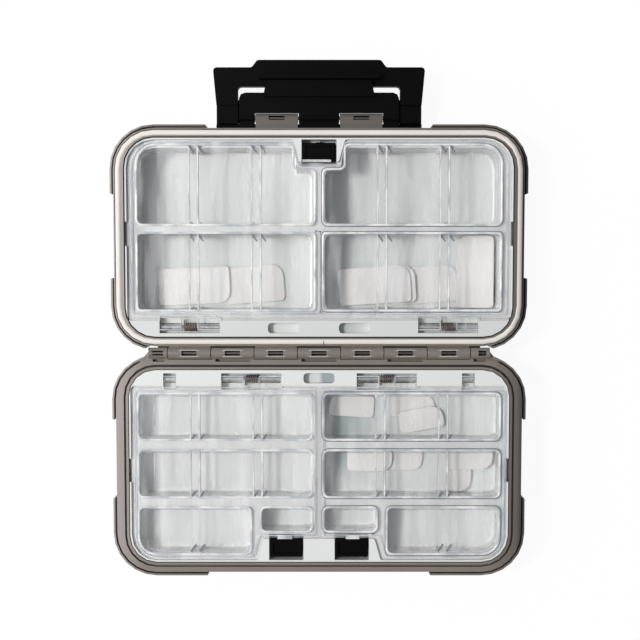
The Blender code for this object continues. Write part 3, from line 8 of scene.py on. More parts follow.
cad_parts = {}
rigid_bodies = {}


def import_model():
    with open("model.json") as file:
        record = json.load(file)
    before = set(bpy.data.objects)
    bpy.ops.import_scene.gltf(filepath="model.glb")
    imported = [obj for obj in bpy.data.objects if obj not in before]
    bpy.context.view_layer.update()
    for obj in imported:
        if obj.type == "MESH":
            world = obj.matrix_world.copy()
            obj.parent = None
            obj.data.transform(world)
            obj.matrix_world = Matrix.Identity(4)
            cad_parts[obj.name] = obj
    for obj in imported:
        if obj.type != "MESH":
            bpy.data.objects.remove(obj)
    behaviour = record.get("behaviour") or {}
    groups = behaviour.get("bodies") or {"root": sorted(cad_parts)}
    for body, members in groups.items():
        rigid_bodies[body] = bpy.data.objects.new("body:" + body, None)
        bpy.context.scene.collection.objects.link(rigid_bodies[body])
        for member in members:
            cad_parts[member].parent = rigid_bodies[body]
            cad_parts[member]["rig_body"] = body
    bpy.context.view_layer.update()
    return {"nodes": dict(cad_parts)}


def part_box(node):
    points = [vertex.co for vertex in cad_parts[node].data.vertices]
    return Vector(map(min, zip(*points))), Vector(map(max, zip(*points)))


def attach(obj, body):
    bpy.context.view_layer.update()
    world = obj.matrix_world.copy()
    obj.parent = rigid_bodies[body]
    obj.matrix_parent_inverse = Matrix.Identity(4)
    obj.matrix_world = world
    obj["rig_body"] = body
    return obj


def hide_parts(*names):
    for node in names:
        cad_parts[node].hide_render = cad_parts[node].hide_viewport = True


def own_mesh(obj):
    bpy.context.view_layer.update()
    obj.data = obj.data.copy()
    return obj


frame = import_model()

# Camera, light and table
# The box lies open on a white table and is photographed from almost straight above.
# One square lamp stands high on the left. The pale room, darker on the right, fills the shadows.

camera_distance = 0.5
view_width = 0.32
camera_tilt = math.radians(3.3)
rim_height = 0.025
camera = bpy.data.objects.new("camera", bpy.data.cameras.new("camera"))
bpy.context.scene.collection.objects.link(camera)
camera.data.lens = camera.data.sensor_width * camera_distance / view_width
camera.data.clip_start = 0.05
camera.data.clip_end = 20
view_centre = Vector((0.0005, 0.0, rim_height))
view_back = Vector((0, math.sin(camera_tilt), math.cos(camera_tilt)))
camera_turn = Matrix.Rotation(-camera_tilt, 4, "X")
camera.matrix_world = Matrix.Translation(view_centre + view_back * camera_distance) @ camera_turn
bpy.context.scene.camera = camera

lamp_place = Vector((-0.66, 0.1, 1.08))
lamp_side = 0.17
window = bpy.data.lights.new("window_lamp", "AREA")
window.shape = "RECTANGLE"
window.size = lamp_side
window.size_y = lamp_side
window.energy = 9.6
window.color = (1, 0.98, 0.965)
window_lamp = bpy.data.objects.new("window_lamp", window)
bpy.context.scene.collection.objects.link(window_lamp)
lamp_turn = (-lamp_place).to_track_quat("-Z", "Y").to_matrix().to_4x4()
window_lamp.matrix_world = Matrix.Translation(lamp_place) @ lamp_turn
bpy.context.scene.view_settings.view_transform = "Standard"


class Socket:
    """One output of a material's nodes. Arithmetic on it adds Math nodes."""

    def __init__(self, finish, link):
        self.finish = finish
        self.link = link

    def worked(self, operation, first, second):
        return self.finish.node("ShaderNodeMath", {"operation": operation}, {0: first, 1: second})

    def __add__(self, other):
        return self.worked("ADD", self, other)

    def __radd__(self, other):
        return self.worked("ADD", other, self)

    def __sub__(self, other):
        return self.worked("SUBTRACT", self, other)

    def __rsub__(self, other):
        return self.worked("SUBTRACT", other, self)

    def __mul__(self, other):
        return self.worked("MULTIPLY", self, other)

    def __rmul__(self, other):
        return self.worked("MULTIPLY", other, self)


class Finish:
    """A material, whose nodes are added one by one."""

    def __init__(self, name):
        self.material = bpy.data.materials.new(name)
        self.material.use_nodes = True
        self.tree = self.material.node_tree
        self.tree.nodes.clear()

    def node(self, kind, settings, values, out=0):
        """Adds a node: its settings first, then its sockets' values or links."""
        made = self.tree.nodes.new(kind)
        for name, setting in settings.items():
            setattr(made, name, setting)
        for name, value in values.items():
            if isinstance(value, Socket):
                self.tree.links.new(value.link, made.inputs[name])
            else:
                made.inputs[name].default_value = value
        return Socket(self, made.outputs[out])

    def shown(self, shader):
        """Ends the material in this shader."""
        output = self.tree.nodes.new("ShaderNodeOutputMaterial")
        self.tree.links.new(shader.link, output.inputs["Surface"])
        return self.material

    def surface(self, values):
        """Ends the material in one solid surface, such as plastic or steel."""
        return self.shown(self.node("ShaderNodeBsdfPrincipled", {}, values))


class Room(Finish):
    """The room round the table, as nodes of the world."""

    def __init__(self, name):
        self.world = bpy.data.worlds.new(name)
        self.world.use_nodes = True
        self.tree = self.world.node_tree
        self.tree.nodes.clear()
        bpy.context.scene.world = self.world


def along(finish, axis, out="Object"):
    """How far a point lies along one axis of the piece."""
    place = finish.node("ShaderNodeTexCoord", {}, {}, out)
    return finish.node("ShaderNodeSeparateXYZ", {}, {"Vector": place}, axis)


def ramp(finish, value, start, end, low=0.0, high=1.0, kind="LINEAR"):
    """Goes from low to high while the value goes from start to end."""
    return finish.node(
        "ShaderNodeMapRange",
        {"interpolation_type": kind},
        {"Value": value, "From Min": start, "From Max": end, "To Min": low, "To Max": high},
    )


def ray(finish, kind):
    """1 for this kind of ray, 0 for the others."""
    return finish.node("ShaderNodeLightPath", {}, {}, kind)


room = Room("pale_room")
room_way = along(room, "X", "Generated")
room_light = ramp(room, room_way, 0.75, -0.5, 0.08, 1.02, "SMOOTHSTEP")
room_air = room.node(
    "ShaderNodeBackground", {}, {"Color": (0.965, 0.98, 1, 1), "Strength": room_light}
)
room_end = room.tree.nodes.new("ShaderNodeOutputWorld")
room.tree.links.new(room_air.link, room_end.inputs["Surface"])

table_size = 4
table_finish = Finish("white_table")
seen_rays = ray(table_finish, "Is Camera Ray") + ray(table_finish, "Is Transmission Ray")
white_share = (seen_rays + ray(table_finish, "Is Glossy Ray")) * 0.93
paper = table_finish.node("ShaderNodeBsdfDiffuse", {}, {"Color": (0.95, 0.95, 0.95, 1)})
dim_paper = table_finish.node("ShaderNodeBsdfDiffuse", {}, {"Color": (0.2, 0.2, 0.2, 1)})
white = table_finish.node("ShaderNodeEmission", {}, {"Color": (1, 1, 1, 1), "Strength": 1.0})
bounce = ray(table_finish, "Is Diffuse Ray")
sheet = table_finish.node("ShaderNodeMixShader", {}, {0: bounce, 1: paper, 2: dim_paper})
table_top = bmesh.new()
bmesh.ops.create_grid(table_top, x_segments=1, y_segments=1, size=table_size)
table_mesh = bpy.data.meshes.new("table")
table_top.to_mesh(table_mesh)
table_top.free()
table = bpy.data.objects.new("table", table_mesh)
bpy.context.scene.collection.objects.link(table)
table_shader = table_finish.node("ShaderNodeMixShader", {}, {0: white_share, 1: sheet, 2: white})
table.data.materials.append(table_finish.shown(table_shader))

# Shells
# The two outer shells are moulded in warm grey plastic with a fine matt grain.
# Their rims, bumpers and hinge barrels are part of the moulding.


def tint(red, green, blue):
    """A colour as it is seen, 0 to 255, as the linear colour of a shader."""
    seen = [part / 255 for part in (red, green, blue)]
    linear = [part / 12.92 if part < 0.04045 else ((part + 0.055) / 1.055) ** 2.4 for part in seen]
    return (*linear, 1)


def mottle(finish, scale, detail=2, rough=0.5):
    """Uneven patches on the piece's own coordinates, this many to the metre."""
    place = finish.node("ShaderNodeTexCoord", {}, {}, "Object")
    return finish.node(
        "ShaderNodeTexNoise",
        {},
        {"Vector": place, "Scale": scale, "Detail": detail, "Roughness": rough},
    )


def blended(finish, share, first, second):
    """One colour going over into another."""
    return finish.node(
        "ShaderNodeMix", {"data_type": "RGBA"}, {0: share, 6: first, 7: second}, 2
    )


def raised(finish, height, strength, distance):
    """Relief in the surface's shading."""
    return finish.node(
        "ShaderNodeBump", {}, {"Height": height, "Strength": strength, "Distance": distance}
    )


# The shell's colour carries painted light and shade: lighter towards the left side, darker towards
# the right side, darker still along the right edge, and darker on the front wall by the latch.
lit_left_side = (-0.088, -0.101)
shaded_right_side = (0.086, 0.100)
shaded_right_edge = (0.100, 0.1015)
middle_line = (-0.03, 0.0)
shaded_latch_front = (0.0935, 0.0965)
shell = Finish("grey_shell_plastic")
shell_grain = mottle(shell, 2600, 3, 0.6)
shell_x = along(shell, "X")
shell_y = along(shell, "Y")
shell_colour = blended(shell, mottle(shell, 60, 3), tint(112, 104, 97), tint(124, 115, 108))
shell_colour = blended(shell, ramp(shell, shell_x, *lit_left_side), shell_colour, tint(152, 143, 139))
right_shade_share = ramp(shell, shell_x, *shaded_right_side) * 0.8
shell_colour = blended(shell, right_shade_share, shell_colour, tint(82, 76, 70))
upper_edge_shade_share = ramp(shell, shell_y, *middle_line)
right_edge_shade_colour = blended(shell, upper_edge_shade_share, tint(66, 62, 58), tint(42, 40, 38))
shell_colour = blended(shell, ramp(shell, shell_x, *shaded_right_edge), shell_colour, right_edge_shade_colour)
latch_shade_share = ramp(shell, shell_y, *shaded_latch_front) * 0.75
shell_colour = blended(shell, latch_shade_share, shell_colour, tint(84, 78, 72))
shell_plastic = shell.surface(
    {
        "Base Color": shell_colour,
        "Roughness": 0.34 + 0.14 * shell_grain,
        "Normal": raised(shell, shell_grain, 0.35, 0.0002),
    }
)


def body_of(node):
    """The moving body that a CAD piece belongs to."""
    return frame["nodes"][node]["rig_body"]


def merged_copy(node):
    """A copy of a CAD piece with its loose triangles joined into whole faces."""
    made = bmesh.new()
    made.from_mesh(frame["nodes"][node].data)
    bmesh.ops.remove_doubles(made, verts=made.verts, dist=0.00001)
    bmesh.ops.dissolve_limit(
        made, angle_limit=math.radians(0.6), verts=made.verts, edges=made.edges
    )
    return made


def smoothed(mesh, name, material, angle):
    """An object of this mesh, smooth but for its sharp edges."""
    mesh.materials.append(material)
    mesh.shade_smooth()
    mesh.set_sharp_from_angle(angle=math.radians(angle))
    piece = bpy.data.objects.new(name, mesh)
    bpy.context.scene.collection.objects.link(piece)
    return piece


def meshed(made, name):
    """The mesh of a finished bmesh."""
    mesh = bpy.data.meshes.new(name)
    made.to_mesh(mesh)
    made.free()
    return mesh


def refined(node, edge, material, angle=35):
    """A finer copy of a CAD piece with its edges rounded and its finish on."""
    name = node + "_moulding"
    mesh = meshed(merged_copy(node), name)
    if "custom_normal" in mesh.attributes:
        mesh.attributes.remove(mesh.attributes["custom_normal"])
    piece = smoothed(mesh, name, material, angle)
    if edge:
        rounded = piece.modifiers.new("edge", "BEVEL")
        rounded.width = edge
        rounded.segments = 2
        rounded.limit_method = "ANGLE"
        rounded.angle_limit = math.radians(angle)
        rounded.harden_normals = True
        rounded.use_clamp_overlap = True
    flat = piece.modifiers.new("flat", "WEIGHTED_NORMAL")
    flat.keep_sharp = True
    flat.weight = 100
    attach(piece, body_of(node))
    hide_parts(node)
    return piece


for node in ("base_shell", "lid_shell"):
    refined(node, 0.0002, shell_plastic)


def smooth_mesh(made, name, material, body, angle=35):
    """Turns a finished bmesh into a piece that rides its body."""
    piece = smoothed(meshed(made, name), name, material, angle)
    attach(piece, body)
    return piece


def raised_loop(made, path, width, height, low):
    """A closed raised line along a path of corner points, each with its own radius."""
    part = bmesh.new()
    points = [part.verts.new((x, y, low)) for x, y, _ in path]
    face = part.faces.new(points)
    face.normal_update()
    if face.normal.z < 0:
        face.normal_flip()
    for point, (_, _, radius) in zip(points, path):
        bmesh.ops.bevel(
            part, geom=[point], offset=radius, affect="VERTICES", segments=6, profile=0.5,
            material=-1, clamp_overlap=False,
        )
    face = max(part.faces, key=lambda found: found.calc_area())
    for share, rise in ((0.22, height), (0.56, 0), (0.22, -height)):
        bmesh.ops.inset_region(
            part, faces=[face], thickness=width * share, depth=rise, use_even_offset=True,
            use_boundary=True,
        )
    bmesh.ops.delete(part, geom=[face], context="FACES_ONLY")
    open_edges = [edge for edge in part.edges if edge.is_boundary]
    bmesh.ops.bridge_loops(part, edges=open_edges)
    bmesh.ops.recalc_face_normals(part, faces=part.faces)
    joined = bpy.data.meshes.new("line")
    part.to_mesh(joined)
    part.free()
    made.from_mesh(joined)
    bpy.data.meshes.remove(joined)


def box_path(x0, y0, x1, y1, radius, outer=None):
    """The corner points of a rectangle, with a wider radius at its outer front corner."""
    return [(x0, y0, radius), (x1, y0, radius), (x1, y1, outer or radius), (x0, y1, radius)]


def block(made, x, y, z):
    """A box between these ends."""
    middle = Matrix.Translation((sum(x) / 2, sum(y) / 2, sum(z) / 2))
    size = Matrix.Diagonal((abs(x[1] - x[0]), abs(y[1] - y[0]), abs(z[1] - z[0]), 1))
    return bmesh.ops.create_cube(made, size=1, matrix=middle @ size)["verts"]


# A near-black plastic for dark joints and dots, also used as painted shade for the hinge gap's web
# and the base's rim groove.
dark_and_shade = Finish("dark_and_painted_shade_plastic")
dark_and_shade_colour = blended(dark_and_shade, mottle(dark_and_shade, 200, 3), tint(36, 33, 31), tint(50, 46, 43))
dark_and_shade_plastic = dark_and_shade.surface({"Base Color": dark_and_shade_colour, "Roughness": 0.6})
# A web closes the hinge gap under the barrels. Its near-black colour is painted shade where the
# table would show through.
web_half_width = 0.0825
web_ahead, web_up = (-0.0202, -0.0120), (0.0125, 0.0140)
web = bmesh.new()
block(web, (-web_half_width, web_half_width), web_ahead, web_up)
smooth_mesh(web, "hinge_gap_shade_web", dark_and_shade_plastic, "lid")

# A dark loop along the floor of the base's rim groove is painted shadow in the groove.
shadow_loop_half_width, shadow_loop_corner = 0.0981, 0.0159
shadow_loop_rear, shadow_loop_front = -0.02275, -0.12545
shadow_loop_width, shadow_loop_height, groove_floor = 0.0009, 0.0004, 0.0224
shadow_loop_path = box_path(-shadow_loop_half_width, shadow_loop_rear, shadow_loop_half_width, shadow_loop_front, shadow_loop_corner)
shadow_loop = bmesh.new()
raised_loop(shadow_loop, shadow_loop_path, shadow_loop_width, shadow_loop_height, groove_floor)
smooth_mesh(shadow_loop, "base_groove_shadow_loop", dark_and_shade_plastic, "base", 60)

barrel_count = 7
barrel_pitch = 0.02159
barrel_radius = 0.00275
hinge_y = -0.01655
frame_half_length, frame_half_width = 0.0044, 0.00195
frame_band, frame_height, frame_corner = 0.0006, 0.0003, 0.0003
# Raised frames round the hinge windows. Their colour, lighter than the shell, is painted highlight
# on their rims.
frame_highlight = Finish("grey_frame_highlight_plastic")
frame_highlight_colour = blended(
    frame_highlight, mottle(frame_highlight, 200, 3), tint(166, 157, 149), tint(180, 172, 164)
)
frame_highlight_plastic = frame_highlight.surface({"Base Color": frame_highlight_colour, "Roughness": 0.4})
for body, first in (("lid", 0), ("base", 1)):
    frames = bmesh.new()
    for n in range(first, barrel_count, 2):
        x = (n - barrel_count // 2) * barrel_pitch
        window_path = box_path(
            x - frame_half_length, hinge_y - frame_half_width,
            x + frame_half_length, hinge_y + frame_half_width, frame_corner,
        )
        raised_loop(frames, window_path, frame_band, frame_height, 0.0)
    for corner in frames.verts:
        turn = (corner.co.y - hinge_y) / barrel_radius
        reach = barrel_radius + corner.co.z
        corner.co.y = hinge_y + math.sin(turn) * reach
        corner.co.z = rim_height + math.cos(turn) * reach
    smooth_mesh(frames, body + "_window_frames", frame_highlight_plastic, body, 60)

# Gasket
# A soft off-white rubber cord lies in the groove of the lid's rim.
# Its round back stands a little proud of the rim, and its ends meet behind the middle.

gasket_lip = 0.00095
gasket_round = 0.0007
gasket_shade_side = (0.094, 0.099)
seam_across, seam_ahead, seam_up = (0.0022, 0.0025), (-0.0124, -0.0104), (0.0249, 0.02542)
rubber = Finish("gasket_rubber")
rubber_colour = blended(rubber, mottle(rubber, 90, 3), tint(214, 208, 203), tint(224, 219, 214))
# The cord is painted darker towards its right side, as painted shade.
gasket_shade_share = ramp(rubber, along(rubber, "X"), *gasket_shade_side) * 0.9
rubber_colour = blended(rubber, gasket_shade_share, rubber_colour, tint(190, 183, 176))
gasket_rubber = rubber.surface({"Base Color": rubber_colour, "Roughness": 0.5})

cord = merged_copy("gasket")
cord_low, cord_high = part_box("gasket")
cord_middle = (cord_low + cord_high) / 2
cord.normal_update()
shifts = {}
for corner in cord.verts:
    outward = Vector((corner.normal.x, corner.normal.y, 0))
    if outward.length > 0.2 and outward.dot(cord_middle - corner.co) > 0:
        shifts[corner] = outward.normalized() * gasket_lip
for corner, shift in shifts.items():
    corner.co += shift
cord_top = [
    edge
    for edge in cord.edges
    if all(corner.co.z > cord_high.z - 0.0001 for corner in edge.verts)
    and any(face.normal.z < 0.5 for face in edge.link_faces)
]
bmesh.ops.bevel(
    cord, geom=cord_top, offset=gasket_round, affect="EDGES", segments=4, profile=0.5, material=-1
)
gasket_cord = smooth_mesh(
    cord, "gasket_cord", gasket_rubber, body_of("gasket"), 60
)
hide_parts("gasket")
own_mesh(gasket_cord)
seam = bmesh.new()
block(seam, seam_across, seam_ahead, seam_up)
smooth_mesh(seam, "gasket_seam", dark_and_shade_plastic, "lid")

# Trays
# Each half holds one white moulded tray of cells with rounded corners.
# Clips at its sides hold it in the shell.

cell_mouth = (0.0228, 0.0215)
front_cells = (-0.088, -0.072)
middle_wall = (0.0, 0.002)
upper_left_shade = (-0.084, -0.093)
upper_left_shade_end = (-0.0965, -0.0955)
lower_left_light = (-0.080, -0.088)
hinge_deck = (0.006, 0.003)


def tray_finish(half, reach, share):
    """White plastic, with painted shade beside the middle wall and along the upper tray's left
    wall, painted light in the lower tray's left cells, and a darker bare deck by the hinge.
    """
    made = Finish(half + "_tray_plastic")
    x = along(made, "X")
    y = along(made, "Y")
    inside = ramp(made, along(made, "Z"), *cell_mouth)
    behind = ramp(made, y, *front_cells)
    colour = blended(made, mottle(made, 35, 3), tint(210, 213, 211), tint(217, 219, 217))
    # Painted shade in the cells beside the middle wall.
    middle_wall_shade = ramp(made, x, *middle_wall) * ramp(made, x, reach, reach * 0.4)
    colour = blended(made, middle_wall_shade * inside * behind * share, colour, tint(126, 144, 147))
    if half == "upper":
        # Painted shade along the upper tray's left wall.
        wall = ramp(made, x, *upper_left_shade) * ramp(made, x, *upper_left_shade_end)
        colour = blended(made, wall * 0.75, colour, tint(150, 157, 163))
        # The bare deck along the hinge is a little darker.
        deck = ramp(made, y, *hinge_deck) * (1 - inside)
        colour = blended(made, deck, colour, tint(202, 204, 203))
    else:
        # Painted light, lifting the shade in the lower tray's left cells.
        wall = ramp(made, x, *lower_left_light) * inside * behind
        colour = blended(made, wall, colour, tint(253, 254, 255))
    return made.surface({"Base Color": colour, "Roughness": 0.3 + 0.08 * mottle(made, 400, 2)})


# The two numbers after each half give how far and how strongly the painted shade beside the middle
# wall reaches.
refined("base_tray", 0.00025, tray_finish("lower", 0.034, 0.75))
refined("lid_tray", 0.00025, tray_finish("upper", 0.026, 0.5))

# Dividers
# The spare dividers are thin moulded plates of milky plastic with rounded corners.
# They lie loose in the cells, some of them on each other.


def steep(finish):
    """0 on the faces that lie flat, 1 on the upright ones."""
    rise = along(finish, "Z", "Normal")
    rise = finish.node("ShaderNodeMath", {"operation": "ABSOLUTE"}, {0: rise})
    return ramp(finish, rise, 0.85, 0.4)


milky = Finish("milky_divider_plastic")
milky_colour = blended(milky, mottle(milky, 120, 3), tint(220, 217, 215), tint(227, 225, 223))
# Their upright edges are painted darker, as painted shade.
milky_colour = blended(milky, steep(milky) * 0.8, milky_colour, tint(158, 156, 155))
divider_plastic = milky.surface({"Base Color": milky_colour, "Roughness": 0.3})
for node in frame["nodes"]:
    if "spare_divider" in node:
        refined(node, 0.0002, divider_plastic)

# Clear lids
# One clear moulded lid shuts the upper tray and two shut the lower one, all on short pins.
# They have a raised line round every cell and ribs over the dividers' slots, near white as painted
# highlight.
# Dark slanted wedges over the slots are painted shadows of the slot ribs, and thin dark lines
# beside some cell lines are painted shade.

clear = Finish("clear_lid_plastic")
facing = clear.node("ShaderNodeLayerWeight", {}, {"Blend": 0.5}, "Facing")
# Faces seen edge-on are tinted grey: painted dark edges that stand in for the plastic's
# refraction.
clear_colour = blended(
    clear, ramp(clear, facing, 0.3, 0.85), (0.985, 0.985, 0.985, 1), (0.5, 0.49, 0.53, 1)
)
clear_body = clear.node(
    "ShaderNodeBsdfPrincipled",
    {},
    {"Base Color": clear_colour, "Roughness": 0.02, "IOR": 1.49, "Transmission Weight": 1.0},
)
# Soft whitish streaks mixed into the clear plastic are painted reflections.
streak_place = clear.node("ShaderNodeTexCoord", {}, {}, "Object")
streak_place = clear.node("ShaderNodeMapping", {}, {"Vector": streak_place, "Scale": (1, 0.16, 1)})
reflection_streaks = clear.node(
    "ShaderNodeTexNoise", {}, {"Vector": streak_place, "Scale": 120, "Detail": 3, "Roughness": 0.6}
)
reflection_share = ramp(clear, reflection_streaks, 0.45, 0.75, 0.0, 0.22)
reflection_white = clear.node(
    "ShaderNodeBsdfPrincipled", {}, {"Base Color": (0.9, 0.92, 0.93, 1), "Roughness": 0.4}
)
clear_body = clear.node("ShaderNodeMixShader", {}, {0: reflection_share, 1: clear_body, 2: reflection_white})
flat_way = clear.node("ShaderNodeBsdfTransparent", {}, {"Color": (0.97, 0.972, 0.975, 1)})
steep_way = clear.node("ShaderNodeBsdfTransparent", {}, {"Color": (0.32, 0.33, 0.34, 1)})
way_share = ramp(clear, facing, 0.35, 0.8)
light_way = clear.node("ShaderNodeMixShader", {}, {0: way_share, 1: flat_way, 2: steep_way})
light_rays = ray(clear, "Is Shadow Ray") + ray(clear, "Is Diffuse Ray")
clear_plastic = clear.shown(
    clear.node("ShaderNodeMixShader", {}, {0: light_rays, 1: clear_body, 2: light_way})
)
for node in ("upper_clear_lid", "left_clear_lid", "right_clear_lid"):
    refined(node, 0.0002, clear_plastic)

line = Finish("moulded_line_highlight_plastic")
# The raised lines are near white in uneven patches, which is painted highlight, and their upright
# sides are painted darker as shade.
line_highlight_patch = ramp(line, mottle(line, 110, 3), 0.4, 0.6)
line_highlight_colour = blended(line, line_highlight_patch, tint(196, 203, 208), tint(252, 253, 254))
line_highlight_colour = blended(line, steep(line) * 0.7, line_highlight_colour, tint(150, 153, 158))
line_clarity = 0.1 + 0.9 * mottle(line, 70, 3)
line_plastic = line.surface(
    {"Base Color": line_highlight_colour, "Roughness": 0.14, "IOR": 1.49, "Alpha": line_clarity}
)
# A dark see-through plastic, used as painted shadow for the slot ribs and as painted shade beside
# the cell lines.
shadow_line = Finish("shaded_line_plastic")
shadow_line_colour = blended(shadow_line, mottle(shadow_line, 300), tint(96, 104, 110), tint(128, 135, 140))
shadow_line_clarity = 0.35 + 0.5 * mottle(shadow_line, 200)
shadow_line_plastic = shadow_line.surface(
    {"Base Color": shadow_line_colour, "Roughness": 0.2, "Alpha": shadow_line_clarity}
)

lid_top = 0.02445
arm_top = 0.0241
line_width, line_height = 0.0012, 0.0003
border_width = 0.0006
shade_width, shade_height = 0.0004, 0.0002
arm_width, arm_height, arm_corner = 0.0005, 0.0002, 0.0004
rib_width, wide_rib = 0.0008, 0.0012
rib_spread = 0.0022
upper_slots = (0.03135, 0.06252)
lower_slots = (0.03092, 0.0625)
# Dark slanted wedges over the slots are painted shadows of the slot ribs.
rib_shadow_lean = math.radians(35)
rib_shadow_width, rib_shadow_height = 0.0010, 0.0003
rib_shadow_shift, rib_shadow_toe = 0.0012, 0.0004
short_rib_shadow, long_rib_shadow = 0.0036, 0.0046
upper_rib_shadow_rows = (0.0411, 0.0851)
lower_rib_shadow_rows = (-0.0594, -0.0884)
wide_cell_rib_shadow = -0.1158


def raised_rib(made, x, ends, width):
    """A straight raised line across a cell."""
    across, up = (x - width / 2, x + width / 2), (lid_top - line_height, lid_top + line_height)
    for corner in block(made, across, ends, up):
        if corner.co.z > lid_top:
            corner.co.x = x + (corner.co.x - x) * 0.6


def ribs_over_slots(made, hand, slots, rows):
    """A narrow and a wide rib beside each slot of the dividers, in each row of cells."""
    for slot_x in slots:
        for way, width in ((-1, rib_width), (1, wide_rib)):
            for ends in rows:
                raised_rib(made, hand * slot_x + way * rib_spread, ends, width)


def slanted_rib_shadows(made, x, y, lean, length):
    """Two short slanted dark wedges over a slot of the dividers, painted shadows of its ribs."""
    for way in (-1, 1):
        turn = Matrix.Rotation(lean, 4, "Z")
        rib_shadow_x = x + way * rib_spread + rib_shadow_shift
        middle = Matrix.Translation((rib_shadow_x, y, lid_top + rib_shadow_height / 3))
        size = Matrix.Diagonal((rib_shadow_width, length, rib_shadow_height, 1))
        corners = bmesh.ops.create_cube(made, size=1, matrix=middle @ turn @ size)["verts"]
        low_end = min(corner.co.y for corner in corners)
        for corner in corners:
            if lean > 0 and corner.co.y < low_end + rib_shadow_toe:
                corner.co.x += rib_shadow_toe


def shaded_loop(made, path):
    """A thin darker line of painted shade just outside a cell's raised line."""
    centre_x = sum(x for x, _, _ in path) / len(path)
    centre_y = sum(y for _, y, _ in path) / len(path)
    wider = [
        (
            x + math.copysign(shade_width, x - centre_x),
            y + math.copysign(shade_width, y - centre_y),
            radius,
        )
        for x, y, radius in path
    ]
    raised_loop(made, wider, shade_width, shade_height, lid_top)


def cell_line(made, shades, path):
    """The raised line round a cell, and the darker line of painted shade outside it where there is
    one.
    """
    raised_loop(made, path, line_width, line_height, lid_top)
    if shades:
        shaded_loop(shades, path)


def black_mark(made, x, y, height, radius, top_radius, depth):
    """A small dark dot on the lid."""
    place = Matrix.Translation((x, y, lid_top + height))
    bmesh.ops.create_cone(
        made, cap_ends=True, segments=16, radius1=radius, radius2=top_radius, depth=depth,
        matrix=place,
    )


def on_lid(made, name, lid, material, angle=35):
    """Turns the raised details of a clear lid into a piece that rides it."""
    smooth_mesh(made, name, material, body_of(lid), angle)


upper_rib_shadows = bmesh.new()
for hand in (-1, 1):
    for slot_x in upper_slots:
        for y in upper_rib_shadow_rows:
            slanted_rib_shadows(upper_rib_shadows, hand * slot_x, y, rib_shadow_lean, long_rib_shadow)
on_lid(upper_rib_shadows, "upper_lid_rib_shadows", "upper_clear_lid", shadow_line_plastic)
for hand, lid in ((-1, "left_clear_lid"), (1, "right_clear_lid")):
    rib_shadows = bmesh.new()
    for slot_x in lower_slots:
        for y in lower_rib_shadow_rows:
            slanted_rib_shadows(rib_shadows, hand * slot_x, y, -rib_shadow_lean, short_rib_shadow)
    slanted_rib_shadows(rib_shadows, hand * lower_slots[1], wide_cell_rib_shadow, -rib_shadow_lean, long_rib_shadow)
    on_lid(rib_shadows, lid + "_guides", lid, shadow_line_plastic)

upper_lines = bmesh.new()
upper_shades = bmesh.new()
upper_inner, upper_outer = 0.0014, 0.0915
hinge_row, latch_row = (0.0041, 0.0440), (0.0468, 0.0877)
hinge_row_ribs, latch_row_ribs = (0.0046, 0.0431), (0.0477, 0.0865)
hinge_row_corner, latch_row_corner, tray_corner = 0.0024, 0.0034, 0.0104
button_x, button_y = 0.0122, 0.0756
for hand in (-1, 1):
    shades = upper_shades if hand == 1 else None
    inner, outer = hand * upper_inner, hand * upper_outer
    rear_cells = box_path(inner, hinge_row[0], outer, hinge_row[1], hinge_row_corner)
    cell_line(upper_lines, shades, rear_cells)
    button_cell = [
        (inner, latch_row[0], latch_row_corner), (outer, latch_row[0], latch_row_corner),
        (outer, latch_row[1], tray_corner), (hand * button_x, latch_row[1], 0.003),
        (hand * button_x, button_y, 0.002), (inner, button_y, 0.003),
    ]
    cell_line(upper_lines, shades, button_cell)
    ribs_over_slots(upper_lines, hand, upper_slots, (hinge_row_ribs, latch_row_ribs))
upper_hinge_arms = ((0.0492, 0.0610), (0.0688, 0.0803))
upper_arm_rear, upper_arm_front = -0.0052, 0.0016
for hand in (-1, 1):
    for x0, x1 in upper_hinge_arms:
        arm = box_path(hand * x0, upper_arm_rear, hand * x1, upper_arm_front, arm_corner)
        raised_loop(upper_lines, arm, arm_width, arm_height, arm_top)
middle_shade, middle_shade_ends = (0.0004, 0.0008), (0.0044, 0.0440)
block(upper_shades, middle_shade, middle_shade_ends, (lid_top, lid_top + shade_height))
on_lid(upper_shades, "upper_lid_shade_lines", "upper_clear_lid", shadow_line_plastic)
marks = bmesh.new()
for x, y in ((0.0006, 0.0440), (-0.0014, 0.0443), (0.0006, 0.0040), (0.0312, 0.0036)):
    black_mark(marks, x, y, height=0.0003, radius=0.0004, top_radius=0.0003, depth=0.0002)
on_lid(marks, "upper_lid_marks", "upper_clear_lid", dark_and_shade_plastic)
upper_border = [
    (-0.0938, 0.0028, 0.001), (0.0938, 0.0028, 0.001), (0.0938, 0.0885, 0.0124),
    (0.0128, 0.0885, 0.001), (0.0102, 0.0772, 0.001), (-0.0102, 0.0772, 0.001),
    (-0.0128, 0.0885, 0.001), (-0.0938, 0.0885, 0.0124),
]
raised_loop(upper_lines, upper_border, border_width, line_height, lid_top)
on_lid(upper_lines, "upper_lid_lines", "upper_clear_lid", line_plastic, 60)

